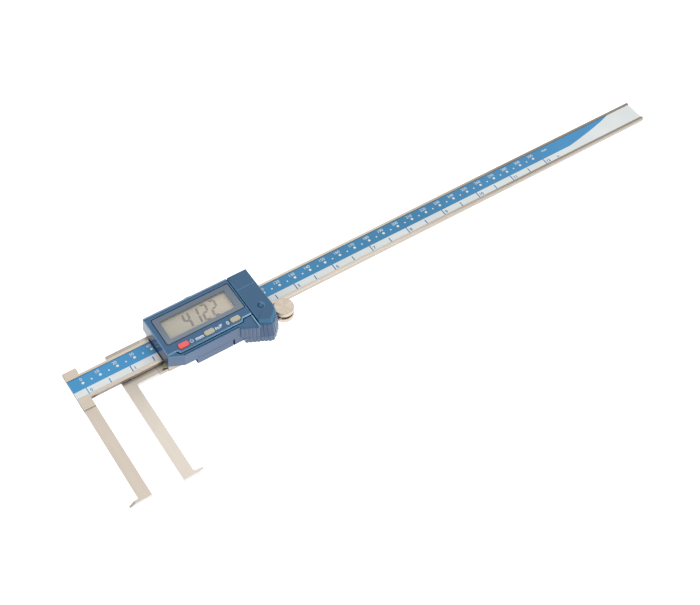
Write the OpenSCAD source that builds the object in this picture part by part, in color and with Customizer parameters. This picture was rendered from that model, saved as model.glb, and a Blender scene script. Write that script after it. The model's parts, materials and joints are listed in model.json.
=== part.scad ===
// Inside caliper with long jaws and an electronic display.
// X runs along the beam (zero mark at x = 0 before the final shift), Y across it,
// Z out of the scale face. Everything is placed at its working position.

/* [Beam] */
// Beam length from the head to the far end
beam_len = 387.7; // [384:0.1:400]
// Beam width
beam_w = 16.1; // [15.8:0.05:16.1]
// Beam thickness
beam_t = 2.9; // [2.7:0.05:2.9]
// Width of the channel for the scale strip
strip_w = 12.4; // [11:0.1:12.4]

/* [Jaws] */
// Distance from the beam's zero line to the jaw ends
jaw_reach = 75.9; // [60:0.1:100]
// Width of the fixed arm
fixed_arm_w = 6.6; // [6.4:0.1:6.6]
// Width of the moving arm
moving_arm_w = 6.75; // [6:0.05:8]
// Overhang of the fixed foot
fixed_foot = 5.7; // [4:0.1:7]
// Overhang of the moving foot
moving_foot = 4.72; // [4:0.01:7]
// Width of each foot along the jaw
foot_w = 1.8; // [1.4:0.1:3]

/* [Slider] */
// Tip to tip distance at which the caliper stands
reading = 41.22; // [24.1:0.01:300]
// Play between the beam and what runs on it
play = 0.05; // [0.03:0.01:0.08]
// Width of the gib strip
gib_w = 1.08; // [0.8:0.02:1.08]

/* [Housing] */
// Height of the housing top above the scale face
top_z = 10.1; // [9.9:0.1:11]
// Pitch of the grip ribs
rib_pitch = 2.1; // [1.8:0.05:2.6]
// Radius of the grip ribs
rib_r = 0.75; // [0.5:0.05:0.8]
// How far the buttons stand proud
button_proud = 0.7; // [0.5:0.05:1.2]
// Button travel
button_travel = 0.5; // [0.3:0.05:0.6]

/* [Controls] */
// Radius of the thumb roller's flanges
roller_r = 5.5; // [5:0.05:5.5]
// Radius of the lock screw's head
lock_r = 4.0; // [3:0.1:4]
// Outer end of the lock screw
lock_end = 18.4; // [16:0.1:20]

/* [Hidden] */

// beam section
bx0 = -7;
bx1 = bx0 + beam_len;
yt = 6.45;
yb = yt - beam_w;
zt = 0.3;
zb = zt - beam_t;
sy1 = 4.65;
sy0 = sy1 - strip_w;
// fixed jaw
fx1 = -0.3;
fx0 = fx1 - fixed_arm_w;
step_y = -15.5;
arm_top = -0.45;
arm_bot = -2.9;
// slider
z_back = -5.3;
plate_top = -2.9;
plate_x0 = 17.15;
plate_x1 = 37.05;
plate_y0 = -13.85;
plate_y1 = 10.5;
fr_x0 = 42.3;
fr_x1 = 106;
fr_y0 = -14.4;
fr_y1 = 10.6;
fr_top = 0.4;
rail_y = yt + play + gib_w + 0.02;
lap = [8, 5];
jaw_screw_at = [[45, -5.2], [45, 2.2], [53, -5.2], [53, 2.2]];
gib_screw_x = [54, 90];
lock_x = 71.8;
screw_z = -1.1;
frame_screw_at = [[46.6, -12.2], [46.6, 9.1], [99.5, 9.1]];
shell_screw = [82.8, -16.6];
board_screw_at = [[62.5, 9.1], [82, 9.1], [91.2, -12.2]];
// board
pcb_z0 = 0.4;
pcb_z1 = 1.05;
// housing
h_bot = 0.8;
shoulder = top_z - 0.5;
deck = top_z - 1.2;
cell = [99.7, -16.6];
buttons = [[52.9, 6.5, 3.5], [68.4, 6.1, 3.3], [84.2, 5.9, 3.3]];
button_y = -13.2;
win = [45.75, -8.9, 92.75, 9.3];
// roller
roller_at = [113.3, yb - roller_r - 0.03];
neck_r = 3.2;
// origin: middle of the outline in plan, on the resting plane
org = [(fx0 - fixed_foot + bx1) / 2, (lock_end - jaw_reach) / 2, z_back];
foot_y0 = -jaw_reach;
foot_y1 = -jaw_reach + foot_w;
shift = reading - 41.22;

steel = [0.80, 0.77, 0.72];
blue = [0.26, 0.40, 0.55];

function arc(cx, cy, r, a0, a1, n = 8) =
    [for (i = [0 : n]) [cx + r * cos(a0 + (a1 - a0) * i / n), cy + r * sin(a0 + (a1 - a0) * i / n)]];
function rrect(x0, y0, x1, y1, r, n = 8) = concat(
    arc(x1 - r, y1 - r, r, 0, 90, n), arc(x0 + r, y1 - r, r, 90, 180, n),
    arc(x0 + r, y0 + r, r, 180, 270, n), arc(x1 - r, y0 + r, r, 270, 360, n));

module fixed() { translate(-org) children(); }
module sliding() { translate([shift, 0, 0]) translate(-org) children(); }
// box between two corners
module bx(a, b) { translate(a) cube(b - a); }
// plan outline between two levels
module slab(pts, z0, z1) { translate([0, 0, z0]) linear_extrude(z1 - z0) polygon(pts); }
// Y-Z outline run along X
module run_x(pts, x0, x1) { translate([x0, 0, 0]) rotate([90, 0, 90]) linear_extrude(x1 - x0) polygon(pts); }
// X-Z outline run along Y
module run_y(pts, y0, y1) { translate([0, y1, 0]) rotate([90, 0, 0]) linear_extrude(y1 - y0) polygon(pts); }
module up(x, y, r, z0, z1, fn = 48) { translate([x, y, z0]) cylinder(r = r, h = z1 - z0, $fn = fn); }
module along_y(x, z, r, y0, y1, fn = 48) { translate([x, y0, z]) rotate([-90, 0, 0]) cylinder(r = r, h = y1 - y0, $fn = fn); }
// grip ribs along an edge, from a to b, standing between z0 and z1
module ribs(a, b, z0, z1, first = 0.9) {
    d = b - a;
    len = norm(d);
    u = d / len;
    n = floor((len - first - 0.3) / rib_pitch);
    for (i = [0 : n]) translate([a[0] + u[0] * (first + i * rib_pitch), a[1] + u[1] * (first + i * rib_pitch), z0])
        cylinder(r = rib_r, h = z1 - z0, $fn = 32);
}

// ---------------------------------------------------------------- fixed side
module main_beam() color(steel) fixed() difference() {
    union() {
        run_x([[yb + 0.3, zb], [yt - 0.3, zb], [yt, zb + 0.3], [yt, zt - 0.4], [yt - 0.4, zt], [sy1, zt], [sy1, -0.8],
            [sy0, -0.8], [sy0, zt], [yb + 0.6, zt], [yb, zt - 0.6], [yb, zb + 0.3]], bx0, bx1);
        // head nub, with the small notch at its foot
        slab([[bx0, yt - 1], [0.5, yt - 1], [0.5, yt], [0.9, 7.6], [0.8, 10.4], [bx0, 10.4]], zb, zt);
        // jaw root
        bx([bx0, step_y, arm_bot], [fx1, sy0 - 0.4, zt]);
    }
    // relief beside the nub
    bx([0.85, yt - 0.35, zb - 1], [6, yt + 1, zt + 1]);
    // lap for the jaw's tongue and its screws
    bx([bx0 + 0.75, step_y - 0.1, arm_bot - 0.1], [fx1 - 0.65, yb - 0.65, -1.35]);
    for (y = [-14.1, -11.6]) up(-3.6, y, 0.62, -1.4, -0.4, 32);
    for (y = [-5.6, 2.4]) up(bx1 - 11.2, y, 0.82, zb - 0.1, -1.05, 32);
}

module fixed_jaw() color(steel) fixed() difference() {
    union() {
        slab(concat([[fx1, step_y - 0.03], [fx0, step_y - 0.03]],
            [for (p = arc(fx0 - 1, foot_y1 + 1, 1, 0, -90, 6)) p],
            [[fx0 - 1, foot_y0], [fx1, foot_y0]]), arm_bot, arm_top);
        intersection() {
            run_y([[fx0, arm_top], [fx0 - 2.5, arm_top], [fx0 - fixed_foot, arm_bot + 0.35], [fx0 - fixed_foot, arm_bot],
                [fx0, arm_bot]], foot_y0, foot_y1);
            slab([[fx0 + 1, foot_y0], [fx0 + 1, foot_y1], [fx0 - 2.5, foot_y1], [fx0 - fixed_foot, foot_y1 - 0.3],
                [fx0 - fixed_foot, foot_y0 + 0.2], [fx0 - 2.5, foot_y0]], arm_bot - 1, arm_top + 1);
        }
        bx([fx0 + 0.7, step_y - 1, arm_bot], [fx1 - 0.7, yb - 0.7, -1.4]);
    }
    for (y = [-14.1, -11.6]) {
        up(-3.6, y, 0.65, arm_bot - 0.1, -1.3, 32);
        up(-3.6, y, 1.2, arm_bot - 0.1, arm_bot + 0.75, 32);
    }
}

module fixed_jaw_screws() color("gray") fixed() for (y = [-14.1, -11.6]) difference() {
    union() {
        up(-3.6, y, 1.15, arm_bot + 0.05, arm_bot + 0.75, 32);
        up(-3.6, y, 0.6, arm_bot + 0.7, -0.5, 32);
    }
    up(-3.6, y, 0.5, arm_bot - 0.1, arm_bot + 0.4, 6);
}

module scale_grid() color("darkgreen") fixed() bx([bx0 + 0.2, sy0 + 0.05, -0.8], [bx1 - 0.4, sy1 - 0.05, -0.2]);

module scale_label() color([0.25, 0.52, 0.76]) fixed() bx([bx0, sy0 + 0.05, -0.2], [bx1 - 0.2, sy1 - 0.05, 0]);

module stop_screws() color("gray") fixed() for (y = [-5.6, 2.4]) difference() {
    union() {
        up(bx1 - 11.2, y, 1.6, zb - 0.9, zb, 48);
        up(bx1 - 11.2, y, 0.8, zb - 0.1, -1.1, 32);
    }
    up(bx1 - 11.2, y, 0.7, zb - 1, zb - 0.45, 6);
}

// ---------------------------------------------------------------- slider, steel parts
module slider_frame() color(steel) sliding() difference() {
    union() {
        bx([fr_x0, fr_y0, z_back], [93, fr_y1, fr_top]);
        bx([92, -11.3, z_back], [fr_x1, fr_y1, fr_top]);
        bx([37.1, plate_y0, z_back], [fr_x0 + 1, plate_y1, plate_top]);
    }
    // way for the beam and the gib
    bx([36, yb - play, zb - play], [fr_x1 + 1, rail_y, 5]);
    // lap for the jaw plate's tongue
    bx([36, -lap[0] - 0.05, z_back - 1], [56.1, lap[1] + 0.05, -4.05]);
    for (p = jaw_screw_at) up(p[0], p[1], 0.82, -5, 0, 32);
    for (x = gib_screw_x) along_y(x, screw_z, 0.84, rail_y - 1, fr_y1 + 1, 32);
    along_y(lock_x, screw_z, 1.3, rail_y - 1, fr_y1 + 1);
    for (p = frame_screw_at) {
        up(p[0], p[1], 0.9, z_back - 1, 2, 32);
        up(p[0], p[1], 1.3, z_back - 1, z_back + 1.1, 32);
    }
    for (p = board_screw_at) up(p[0], p[1], 0.54, -2, 2, 32);
}

module moving_jaw() color(steel) sliding() difference() {
    ax = plate_x0 + moving_arm_w;
    union() {
        slab(concat([[plate_x0, foot_y0]], [[ax + 1, foot_y0]],
            arc(ax + 1, foot_y1 + 1, 1, 270, 180, 6),
            arc(ax + 0.8, plate_y0 - 0.8, 0.8, 180, 90, 6),
            [[plate_x1, plate_y0], [plate_x1, plate_y1]],
            arc(plate_x0 + 1.2, plate_y1 - 1.2, 1.2, 90, 180, 6)), z_back, plate_top);
        intersection() {
            run_y([[ax - 0.5, plate_top], [ax + moving_foot, plate_top], [ax + moving_foot, plate_top - 0.35],
                [ax + 2.2, z_back], [ax - 0.5, z_back]], foot_y0, foot_y1);
            slab([[ax - 1, foot_y0], [ax + 2, foot_y0], [ax + moving_foot, foot_y0 + 0.3],
                [ax + moving_foot, foot_y1 - 0.3], [ax + 2, foot_y1], [ax - 1, foot_y1]], z_back - 1, plate_top + 1);
        }
        bx([plate_x1 - 1, -lap[0], z_back], [56, lap[1], -4.1]);
    }
    for (p = jaw_screw_at) {
        up(p[0], p[1], 0.9, z_back - 1, -3, 32);
        up(p[0], p[1], 1.8, z_back - 1, z_back + 0.8, 32);
    }
}

module jaw_screws() color("gray") sliding() for (p = jaw_screw_at) difference() {
    union() {
        up(p[0], p[1], 1.7, z_back + 0.05, z_back + 0.8, 32);
        up(p[0], p[1], 0.8, z_back + 0.7, zb - play - 0.1, 32);
    }
    up(p[0], p[1], 0.7, z_back - 1, z_back + 0.45, 6);
}

module gib_strip() color("goldenrod") sliding() bx([44, yt + play, zb], [104, yt + play + gib_w, zt - 0.02]);

module gib_screws() color("dimgray") sliding() for (x = gib_screw_x) difference() {
    along_y(x, screw_z, 0.8, rail_y, 9.9, 32);
    along_y(x, screw_z, 0.45, 9, 11, 6);
}

// ---------------------------------------------------------------- housing
bay_low = [[93.3, 12.65], [106.6, 12.65], [106.85, -12], [106.5, -18.2], [105.2, -21.9], [101.2, -25.9],
    [100, -26.5], [93.3, -22.9]];
bay_high = [[93.3, 12.65], [106.3, 12.65], [106.7, -15.3], [106.1, -18.9], [104.5, -21.4], [101, -24.5],
    [100, -25.2], [93.3, -21.5]];

module housing_solid() {
    // display part, up to the shoulder
    slab([[41.8, 12.65], [93, 12.65], [93, -23.85], [92.9, -23.8], [83.6, -19.6], [83.6, -19.2], [50.15, -19.15],
        [42.1, -15.45], [41.8, -15.2]], h_bot, shoulder);
    // raised face
    slab([[42.4, 12.65], [93, 12.65], [93, -15], [87.7, -15.84], [87.1, -16.9], [49.5, -17.1], [48.5, -14.95],
        [42.4, -15.1]], shoulder - 1, top_z);
    // battery end
    hull() {
        slab(bay_low, h_bot, h_bot + 0.01);
        slab(bay_high, deck - 0.01, deck);
    }
    bx([92, -20, h_bot], [94, 12.65, deck]);
    ribs([83.6, -19.45], [92.9, -23.65], h_bot, shoulder - 0.15);
    // ribs on the sloping end wall
    for (t = [0 : 2]) rib_lean([94.6 + 1.83 * t, -23.6 - 1.04 * t], [94.6 + 1.83 * t, -22.2 - 1.04 * t]);
    for (t = [0 : 2]) rib_lean([101.7 + 1.5 * t, -25.2 + 1.5 * t], [101.5 + 1.3 * t, -23.9 + 1.2 * t]);
}

// one rib leaning from its foot a to its head b
module rib_lean(a, b) {
    h = deck - h_bot - 0.5;
    d = [b[0] - a[0], b[1] - a[1]];
    l = norm([d[0], d[1], h]);
    translate([a[0], a[1], h_bot]) rotate([0, acos(h / l), atan2(d[1], d[0])]) cylinder(r = rib_r, h = l, $fn = 32);
}

module upper_housing() color(blue) sliding() difference() {
    union() {
        difference() {
            housing_solid();
            // inside of the display part
            slab([[43.9, 11.4], [92.2, 11.4], [92.2, -10], [43.9, -10]], h_bot - 1, 8.2);
            slab([[43.9, -9.9], [92.2, -9.9], [92.2, -17.9], [50.5, -17.9], [43.9, -14.6]], h_bot - 1, 8.7);
            // room above the beam at the battery end
            bx([94.2, -9.9, h_bot - 1], [105.4, 11.4, 6.9]);
        }
        // screw bosses
        up(46.6, -12.2, 1.7, 1.08, 9);
        up(46.6, 9.1, 1.7, 1.08, 9);
        up(99.5, 9.1, 1.7, 1.08, 7.2);
        up(shell_screw[0], shell_screw[1], 1.4, h_bot, 9);
    }
    // left wall's draft
    translate([41.8, -40, h_bot]) rotate([0, 4.9, 0]) translate([-6, 0, -2]) cube([6, 80, 20]);
    // level under the battery cover, level of the housing's foot
    bx([93, -40, deck], [120, 40, 20]);
    bx([40, -40, h_bot - 3], [120, 40, h_bot]);
    // board passes under the end walls
    bx([40, -14.2, 0], [44.5, 10.3, 1.08]);
    bx([92, -11.35, 0], [105.15, 10.3, 1.08]);
    for (p = frame_screw_at) up(p[0], p[1], 0.83, 0, 5, 32);
    up(shell_screw[0], shell_screw[1], 0.83, 0, 5, 32);
    // window seat and opening
    slab(rrect(win[0], win[1], win[2], win[3], 1), 9.05, 20);
    bx([48.6, -7.2, 7], [89.3, 6.8, 12]);
    // button holes
    for (b = buttons) slab(rrect(b[0] - b[1] / 2 - 0.15, button_y - b[2] / 2 - 0.15, b[0] + b[1] / 2 + 0.15,
        button_y + b[2] / 2 + 0.15, 1.1), 8, 20);
    // groove along the button strip
    slab([[47.9, -15], [48.5, -14.95], [49.5, -17.1], [87.1, -16.9], [87.7, -15.84], [93.2, -15], [93.2, -15.6],
        [88.1, -16.35], [87.4, -17.4], [49.15, -17.65], [48, -15.5]], shoulder - 0.5, 20);
    // fine lines near the front and rear edges
    bx([50.3, -18.62, shoulder - 0.2], [83.4, -18.4, 20]);
    bx([42, 11.4, top_z - 0.3], [93.2, 11.7, 20]);
    // pocket for the cell, slots for its contacts
    up(cell[0], cell[1], 6, 1.7, 20, 64);
    bx([92, -17.3, 1.7], [95, -15.9, 2.2]);
    bx([93.5, -18.3, 2.3], [95, -14.9, 7.2]);
    bx([92, -16, 6.7], [94, -14.9, 7.1]);
    // ways for the cover's runners, open at the end
    for (y = [-6, 6]) {
        bx([94.4, y - 1.4, deck - 0.6], [110, y + 1.4, 20]);
        bx([94.4, y - 2.1, deck - 1.3], [110, y + 2.1, deck - 0.55]);
    }
}

module lower_shell() color(blue) sliding() difference() {
    union() {
        bx([58.7, -17.5, -3.1], [80, -14.45, 0.75]);
        bx([79.45, -18.9, -4], [86, -14.45, 0.75]);
        slab([[85.6, -14.45], [93.05, -14.45], [93.05, -11.35], [106.3, -11.35], [106.5, -19], [105.4, -21.5],
            [100.6, -26.2], [98.5, -27], [85.6, -20]], -4, 0.75);
        ribs([85.6, -19.85], [98.2, -26.7], -4, 0.75, 0.5);
        ribs([101, -25.6], [105.3, -21.4], -4, 0.75, 0.6);
    }
    bx([79.4, -20, -5], [80.5, -17.4, 2]);
    // data port
    bx([64, -18, -2.6], [76, -14.9, 0.2]);
    up(shell_screw[0], shell_screw[1], 0.9, -5, 2, 32);
    up(shell_screw[0], shell_screw[1], 1.5, -5, -3, 32);
    // seat of the roller spring
    bx([95.6, -19.02, -2.02], [108, -18.4, -0.38]);
}

module wiper_seals() color([0.08, 0.08, 0.08]) sliding() {
    bx([41.15, yb + 0.1, 0.36], [41.78, yt - 0.1, 1]);
    bx([41.15, sy0 + 0.15, 0.05], [41.78, sy1 - 0.15, 0.4]);
    bx([105.5, yb + 0.1, 0.36], [106.3, yt - 0.1, 0.78]);
    bx([105.5, sy0 + 0.15, 0.05], [106.3, sy1 - 0.15, 0.4]);
}

module circuit_board() color([0.35, 0.45, 0.15]) sliding() union() {
    difference() {
        slab([[41.9, 10.2], [105, 10.2], [105, -11], [92.15, -11], [92.15, -14.1], [41.9, -14.1]], pcb_z0, pcb_z1);
        for (p = frame_screw_at) up(p[0], p[1], 1, 0, 2, 32);
        for (p = board_screw_at) up(p[0], p[1], 0.6, 0, 2, 32);
    }
    // chip under its blob, crystal, capacitors
    up(64, 2.5, 3.6, pcb_z1 - 0.1, pcb_z1 + 1.1);
    bx([78, 1, pcb_z1 - 0.1], [85, 3.2, pcb_z1 + 1.6]);
    for (x = [52, 55, 58]) bx([x, 4, pcb_z1 - 0.1], [x + 1.6, 4.8, pcb_z1 + 0.6]);
}

module board_screws() color("silver") sliding() for (p = board_screw_at) difference() {
    union() {
        up(p[0], p[1], 1, pcb_z1, pcb_z1 + 0.55, 32);
        up(p[0], p[1], 0.5, -1.8, pcb_z1 + 0.1, 32);
    }
    for (a = [0, 90]) translate([p[0], p[1], pcb_z1 + 0.5]) rotate(a) cube([1.2, 0.25, 0.4], center = true);
}

module lcd_panel() color([0.72, 0.71, 0.64]) sliding() bx([46.5, -8.3, 6.95], [91.5, 7.3, 8.15]);

module lcd_window() color([0.55, 0.62, 0.66, 0.5]) sliding()
    slab(rrect(win[0] + 0.1, win[1] + 0.1, win[2] - 0.1, win[3] - 0.1, 0.9), 9.05, top_z - 0.12);

module lcd_connector() color("orchid") sliding() bx([50, -8.2, pcb_z1], [88, -6.6, 6.95]);

module button_pad() color([0.3, 0.3, 0.32]) sliding() union() {
    bx([48.6, -14.6, pcb_z1], [89.5, -10.9, pcb_z1 + 0.7]);
    for (b = buttons) {
        up(b[0], button_y, 1.3, pcb_z1 + 0.6, pcb_z1 + 2);
        up(b[0], button_y, 0.9, pcb_z1 + 1.9, 5.2 - button_travel);
    }
}

module coin_cell() color("silver") sliding() union() {
    up(cell[0], cell[1], 5.2, 2.2, 2.7, 64);
    up(cell[0], cell[1], 5.8, 2.6, 7.6, 64);
}

module battery_contacts() color("gold") sliding() {
    // minus, under the cell
    union() {
        bx([90.5, -17.2, 1.75], [103.5, -16, 1.95]);
        bx([98.9, -17.2, 1.9], [100.5, -16, 2.2]);
        bx([90.5, -17.2, 1.75], [91.3, -13.4, 1.95]);
        bx([90.5, -13.9, pcb_z1], [91.3, -13.4, 1.95]);
    }
    // plus, beside the cell
    union() {
        bx([93.6, -18.2, 2.5], [93.85, -15, 7]);
        bx([91, -15.9, 6.8], [93.8, -15, 7]);
        bx([91, -15.9, 6.8], [91.8, -13.3, 7]);
        bx([91.55, -13.9, pcb_z1], [91.8, -13.5, 7]);
    }
}

module self_tapper(x, y, zh, zs, rh) difference() {
    union() {
        up(x, y, rh, zh, zh + 0.9, 32);
        up(x, y, 0.8, zh + 0.8, zs, 32);
    }
    for (a = [0, 90]) translate([x, y, zh]) rotate(a) cube([rh * 1.3, 0.35, 0.9], center = true);
}
module housing_screws() color("gray") sliding() {
    for (p = frame_screw_at) self_tapper(p[0], p[1], z_back + 0.15, 4.6, 1.22);
    self_tapper(shell_screw[0], shell_screw[1], -3.95, 4.6, 1.4);
}

module roller_spring() color("lightgray") sliding() union() {
    bx([95.7, roller_at[1] - neck_r - 0.58, -1.95], [roller_at[0] + 0.1, roller_at[1] - neck_r - 0.08, -0.45]);
    intersection() {
        difference() {
            up(roller_at[0], roller_at[1], neck_r + 0.58, -1.95, -0.45, 64);
            up(roller_at[0], roller_at[1], neck_r + 0.08, -3, 1, 64);
        }
        bx([roller_at[0], roller_at[1] - 10, -3], [roller_at[0] + 10, roller_at[1] + 10, 1]);
    }
}

module port_contacts() color([0.1, 0.1, 0.1]) sliding() union() {
    bx([64.1, -15.8, -2.5], [75.9, -14.95, 0.1]);
    for (i = [0 : 4]) bx([65.4 + i * 2, -16.1, -2], [66.4 + i * 2, -15.7, -0.4]);
}

// ---------------------------------------------------------------- pieces that move on the slider
module thumb_roller() color([0.82, 0.78, 0.70]) sliding() translate([roller_at[0], roller_at[1], 0])
    rotate_extrude($fn = 96) polygon([[0, -5.1], [roller_r - 0.4, -5.1], [roller_r, -4.7], [roller_r, -2.6],
        [roller_r - 0.4, -2.2], [neck_r, -2.2], [neck_r, -0.2], [roller_r - 0.4, -0.2], [roller_r, 0.2],
        [roller_r, 2.2], [roller_r - 0.4, 2.6], [0, 2.6]]);

module lock_screw() color([0.8, 0.78, 0.74]) sliding() translate([lock_x, 0, screw_z]) rotate([-90, 0, 0])
    rotate_extrude($fn = 64) polygon([[0, rail_y + 0.02], [1, rail_y + 0.02], [1.25, rail_y + 0.3], [1.25, fr_y1 + 0.1],
        [1.7, fr_y1 + 0.1], [1.7, 13], [lock_r - 0.35, 13], [lock_r, 13.35], [lock_r, lock_end - 0.5],
        [lock_r - 0.5, lock_end], [0, lock_end]]);

module button(b) sliding() union() {
    x0 = b[0] - b[1] / 2;
    x1 = b[0] + b[1] / 2;
    y0 = button_y - b[2] / 2;
    y1 = button_y + b[2] / 2;
    slab(rrect(x0, y0, x1, y1, 1), 8.1, top_z + button_proud - 0.3);
    slab(rrect(x0 + 0.3, y0 + 0.3, x1 - 0.3, y1 - 0.3, 0.8), top_z, top_z + button_proud);
    bx([x0 - 0.8, y0, 8.1], [x1 + 0.8, y1, 8.65]);
    bx([b[0] - 1.5, button_y - 1.1, 5.3], [b[0] + 1.5, button_y + 1.1, 8.2]);
}
module power_button() color([0.95, 0.3, 0.3]) button(buttons[0]);
module mode_button() color([0.78, 0.75, 0.66]) button(buttons[1]);
module zero_button() color([0.78, 0.75, 0.66]) button(buttons[2]);

module battery_cover() color([0.28, 0.42, 0.57]) sliding() difference() {
    union() {
        hull() {
            slab([[93.5, 12.6], [106.35, 12.6], [106.7, -15.3], [106.1, -18.9], [104.5, -21.4], [101, -24.5], [100, -25.2],
                [93.5, -21.6]], deck + 0.05, deck + 0.1);
            slab([[93.5, 12.6], [106.2, 12.6], [106.5, -14.8], [105.9, -18.9], [100.3, -22.8], [93.5, -19.45]],
                top_z - 0.02, top_z);
        }
        for (y = [-6, 6]) {
            bx([94.6, y - 1.3, deck - 0.6], [106.2, y + 1.3, deck + 0.1]);
            bx([94.6, y - 2, deck - 1.2], [106.2, y + 2, deck - 0.6]);
        }
    }
    // thumb dimple
    translate([100.6, -12.4, top_z + 3]) sphere(r = 3.5, $fn = 48);
}

module port_cover() color([0.28, 0.42, 0.57]) sliding() union() {
    bx([57.4, -18.9, -4], [79.35, -17.6, 0.75]);
    bx([57.4, -17.7, -4], [58.6, -14.6, 0.75]);
    bx([57.4, -17.7, -4], [79.1, -15, -3.2]);
}

main_beam();
fixed_jaw();
fixed_jaw_screws();
scale_grid();
scale_label();
stop_screws();
slider_frame();
moving_jaw();
jaw_screws();
gib_strip();
gib_screws();
upper_housing();
lower_shell();
wiper_seals();
circuit_board();
board_screws();
lcd_panel();
lcd_window();
lcd_connector();
button_pad();
coin_cell();
battery_contacts();
housing_screws();
roller_spring();
port_contacts();
thumb_roller();
lock_screw();
power_button();
mode_button();
zero_button();
battery_cover();
port_cover();
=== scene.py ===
import bpy, bmesh, json, math
from math import sin, cos, tan, pi, radians, atan2, sqrt, acos, degrees
from mathutils import Vector, Matrix


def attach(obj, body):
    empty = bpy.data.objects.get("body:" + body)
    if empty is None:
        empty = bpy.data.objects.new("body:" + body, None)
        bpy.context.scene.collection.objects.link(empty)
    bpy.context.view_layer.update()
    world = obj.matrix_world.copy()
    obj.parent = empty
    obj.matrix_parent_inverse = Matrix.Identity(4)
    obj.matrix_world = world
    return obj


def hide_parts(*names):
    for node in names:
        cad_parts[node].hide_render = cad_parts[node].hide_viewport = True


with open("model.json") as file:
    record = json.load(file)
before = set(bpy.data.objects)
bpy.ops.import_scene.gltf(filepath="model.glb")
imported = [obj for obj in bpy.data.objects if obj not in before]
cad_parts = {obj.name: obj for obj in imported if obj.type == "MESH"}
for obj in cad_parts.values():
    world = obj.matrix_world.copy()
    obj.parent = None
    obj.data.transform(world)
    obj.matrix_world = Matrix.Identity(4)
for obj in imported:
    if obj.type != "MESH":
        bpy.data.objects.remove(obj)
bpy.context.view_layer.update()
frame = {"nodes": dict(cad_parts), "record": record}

# Everything below is measured in millimetres in the caliper's own frame: x from the zero mark
# along the beam, y across it, z out of the scale face. row() turns it into the shared frame.
ORG = Vector((184.05, -28.75, -5.3))
TO_ROW = Matrix.Scale(0.001, 4) @ Matrix.Translation(-ORG)


def row(p):
    return (Vector(p) - ORG) * 0.001


# ------------------------------------------------------------------ materials
def lin(c):
    """#rrggbb to linear."""
    v = [int(c[i:i + 2], 16) / 255 for i in (1, 3, 5)]
    return [x / 12.92 if x <= 0.04045 else ((x + 0.055) / 1.055) ** 2.4 for x in v]


def mul(c, k):
    return [min(1.0, x * k) for x in c]


class Mat:
    def __init__(self, name, rough=0.5, metal=0.0, spec=0.5, ior=1.45):
        self.m = bpy.data.materials.new(name)
        self.m.use_nodes = True
        self.nt = self.m.node_tree
        self.nt.nodes.clear()
        self.out = self.nt.nodes.new("ShaderNodeOutputMaterial")
        self.b = self.nt.nodes.new("ShaderNodeBsdfPrincipled")
        self.nt.links.new(self.b.outputs[0], self.out.inputs[0])
        self.b.inputs["Roughness"].default_value = rough
        self.b.inputs["Metallic"].default_value = metal
        self.b.inputs["Specular IOR Level"].default_value = spec
        self.b.inputs["IOR"].default_value = ior
        self.tc = None
        self.height = None

    def node(self, kind, **kw):
        n = self.nt.nodes.new(kind)
        for k, v in kw.items():
            setattr(n, k, v)
        return n

    def link(self, a, b):
        self.nt.links.new(a, b)

    def coords(self, scale=(1, 1, 1), rot=(0, 0, 0), loc=(0, 0, 0)):
        if self.tc is None:
            self.tc = self.node("ShaderNodeTexCoord")
        mp = self.node("ShaderNodeMapping")
        mp.inputs["Scale"].default_value = scale
        mp.inputs["Rotation"].default_value = rot
        mp.inputs["Location"].default_value = loc
        self.link(self.tc.outputs["Object"], mp.inputs["Vector"])
        return mp.outputs[0]

    def noise(self, vec, scale=1.0, detail=3.0, rough=0.55, dist=0.0):
        n = self.node("ShaderNodeTexNoise")
        n.inputs["Scale"].default_value = scale
        n.inputs["Detail"].default_value = detail
        n.inputs["Roughness"].default_value = rough
        n.inputs["Distortion"].default_value = dist
        self.link(vec, n.inputs["Vector"])
        return n.outputs["Fac"]

    def ramp(self, fac, stops):
        r = self.node("ShaderNodeValToRGB")
        e = r.color_ramp.elements
        while len(e) < len(stops):
            e.new(0.5)
        for i, (p, c) in enumerate(stops):
            e[i].position = p
            if not hasattr(c, "__len__"):
                c = (c, c, c)
            e[i].color = (c[0], c[1], c[2], 1)
        self.link(fac, r.inputs[0])
        return r.outputs[0]

    def maprange(self, v, a, b, c, d):
        n = self.node("ShaderNodeMapRange")
        n.inputs["From Min"].default_value = a
        n.inputs["From Max"].default_value = b
        n.inputs["To Min"].default_value = c
        n.inputs["To Max"].default_value = d
        self.link(v, n.inputs["Value"])
        return n.outputs[0]

    def math(self, op, a, b=None):
        n = self.node("ShaderNodeMath", operation=op)
        for i, v in enumerate((a, b)):
            if v is None:
                continue
            if hasattr(v, "is_output"):
                self.link(v, n.inputs[i])
            else:
                n.inputs[i].default_value = v
        return n.outputs[0]

    def mix(self, fac, a, b, blend="MIX"):
        n = self.node("ShaderNodeMix", data_type="RGBA", blend_type=blend)
        if hasattr(fac, "is_output"):
            self.link(fac, n.inputs[0])
        else:
            n.inputs[0].default_value = fac
        for i, v in ((6, a), (7, b)):
            if hasattr(v, "is_output"):
                self.link(v, n.inputs[i])
            else:
                n.inputs[i].default_value = (v[0], v[1], v[2], 1)
        return n.outputs[2]

    def color(self, v):
        if hasattr(v, "is_output"):
            self.link(v, self.b.inputs["Base Color"])
        else:
            self.b.inputs["Base Color"].default_value = (v[0], v[1], v[2], 1)

    def rough(self, v):
        self.link(v, self.b.inputs["Roughness"])

    def bump(self, height, strength=0.3, dist=0.00002):
        n = self.node("ShaderNodeBump")
        n.inputs["Strength"].default_value = strength
        n.inputs["Distance"].default_value = dist
        self.link(height, n.inputs["Height"])
        if self.height is not None:
            self.link(self.height, n.inputs["Normal"])
        self.height = n.outputs[0]
        self.link(self.height, self.b.inputs["Normal"])


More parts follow.
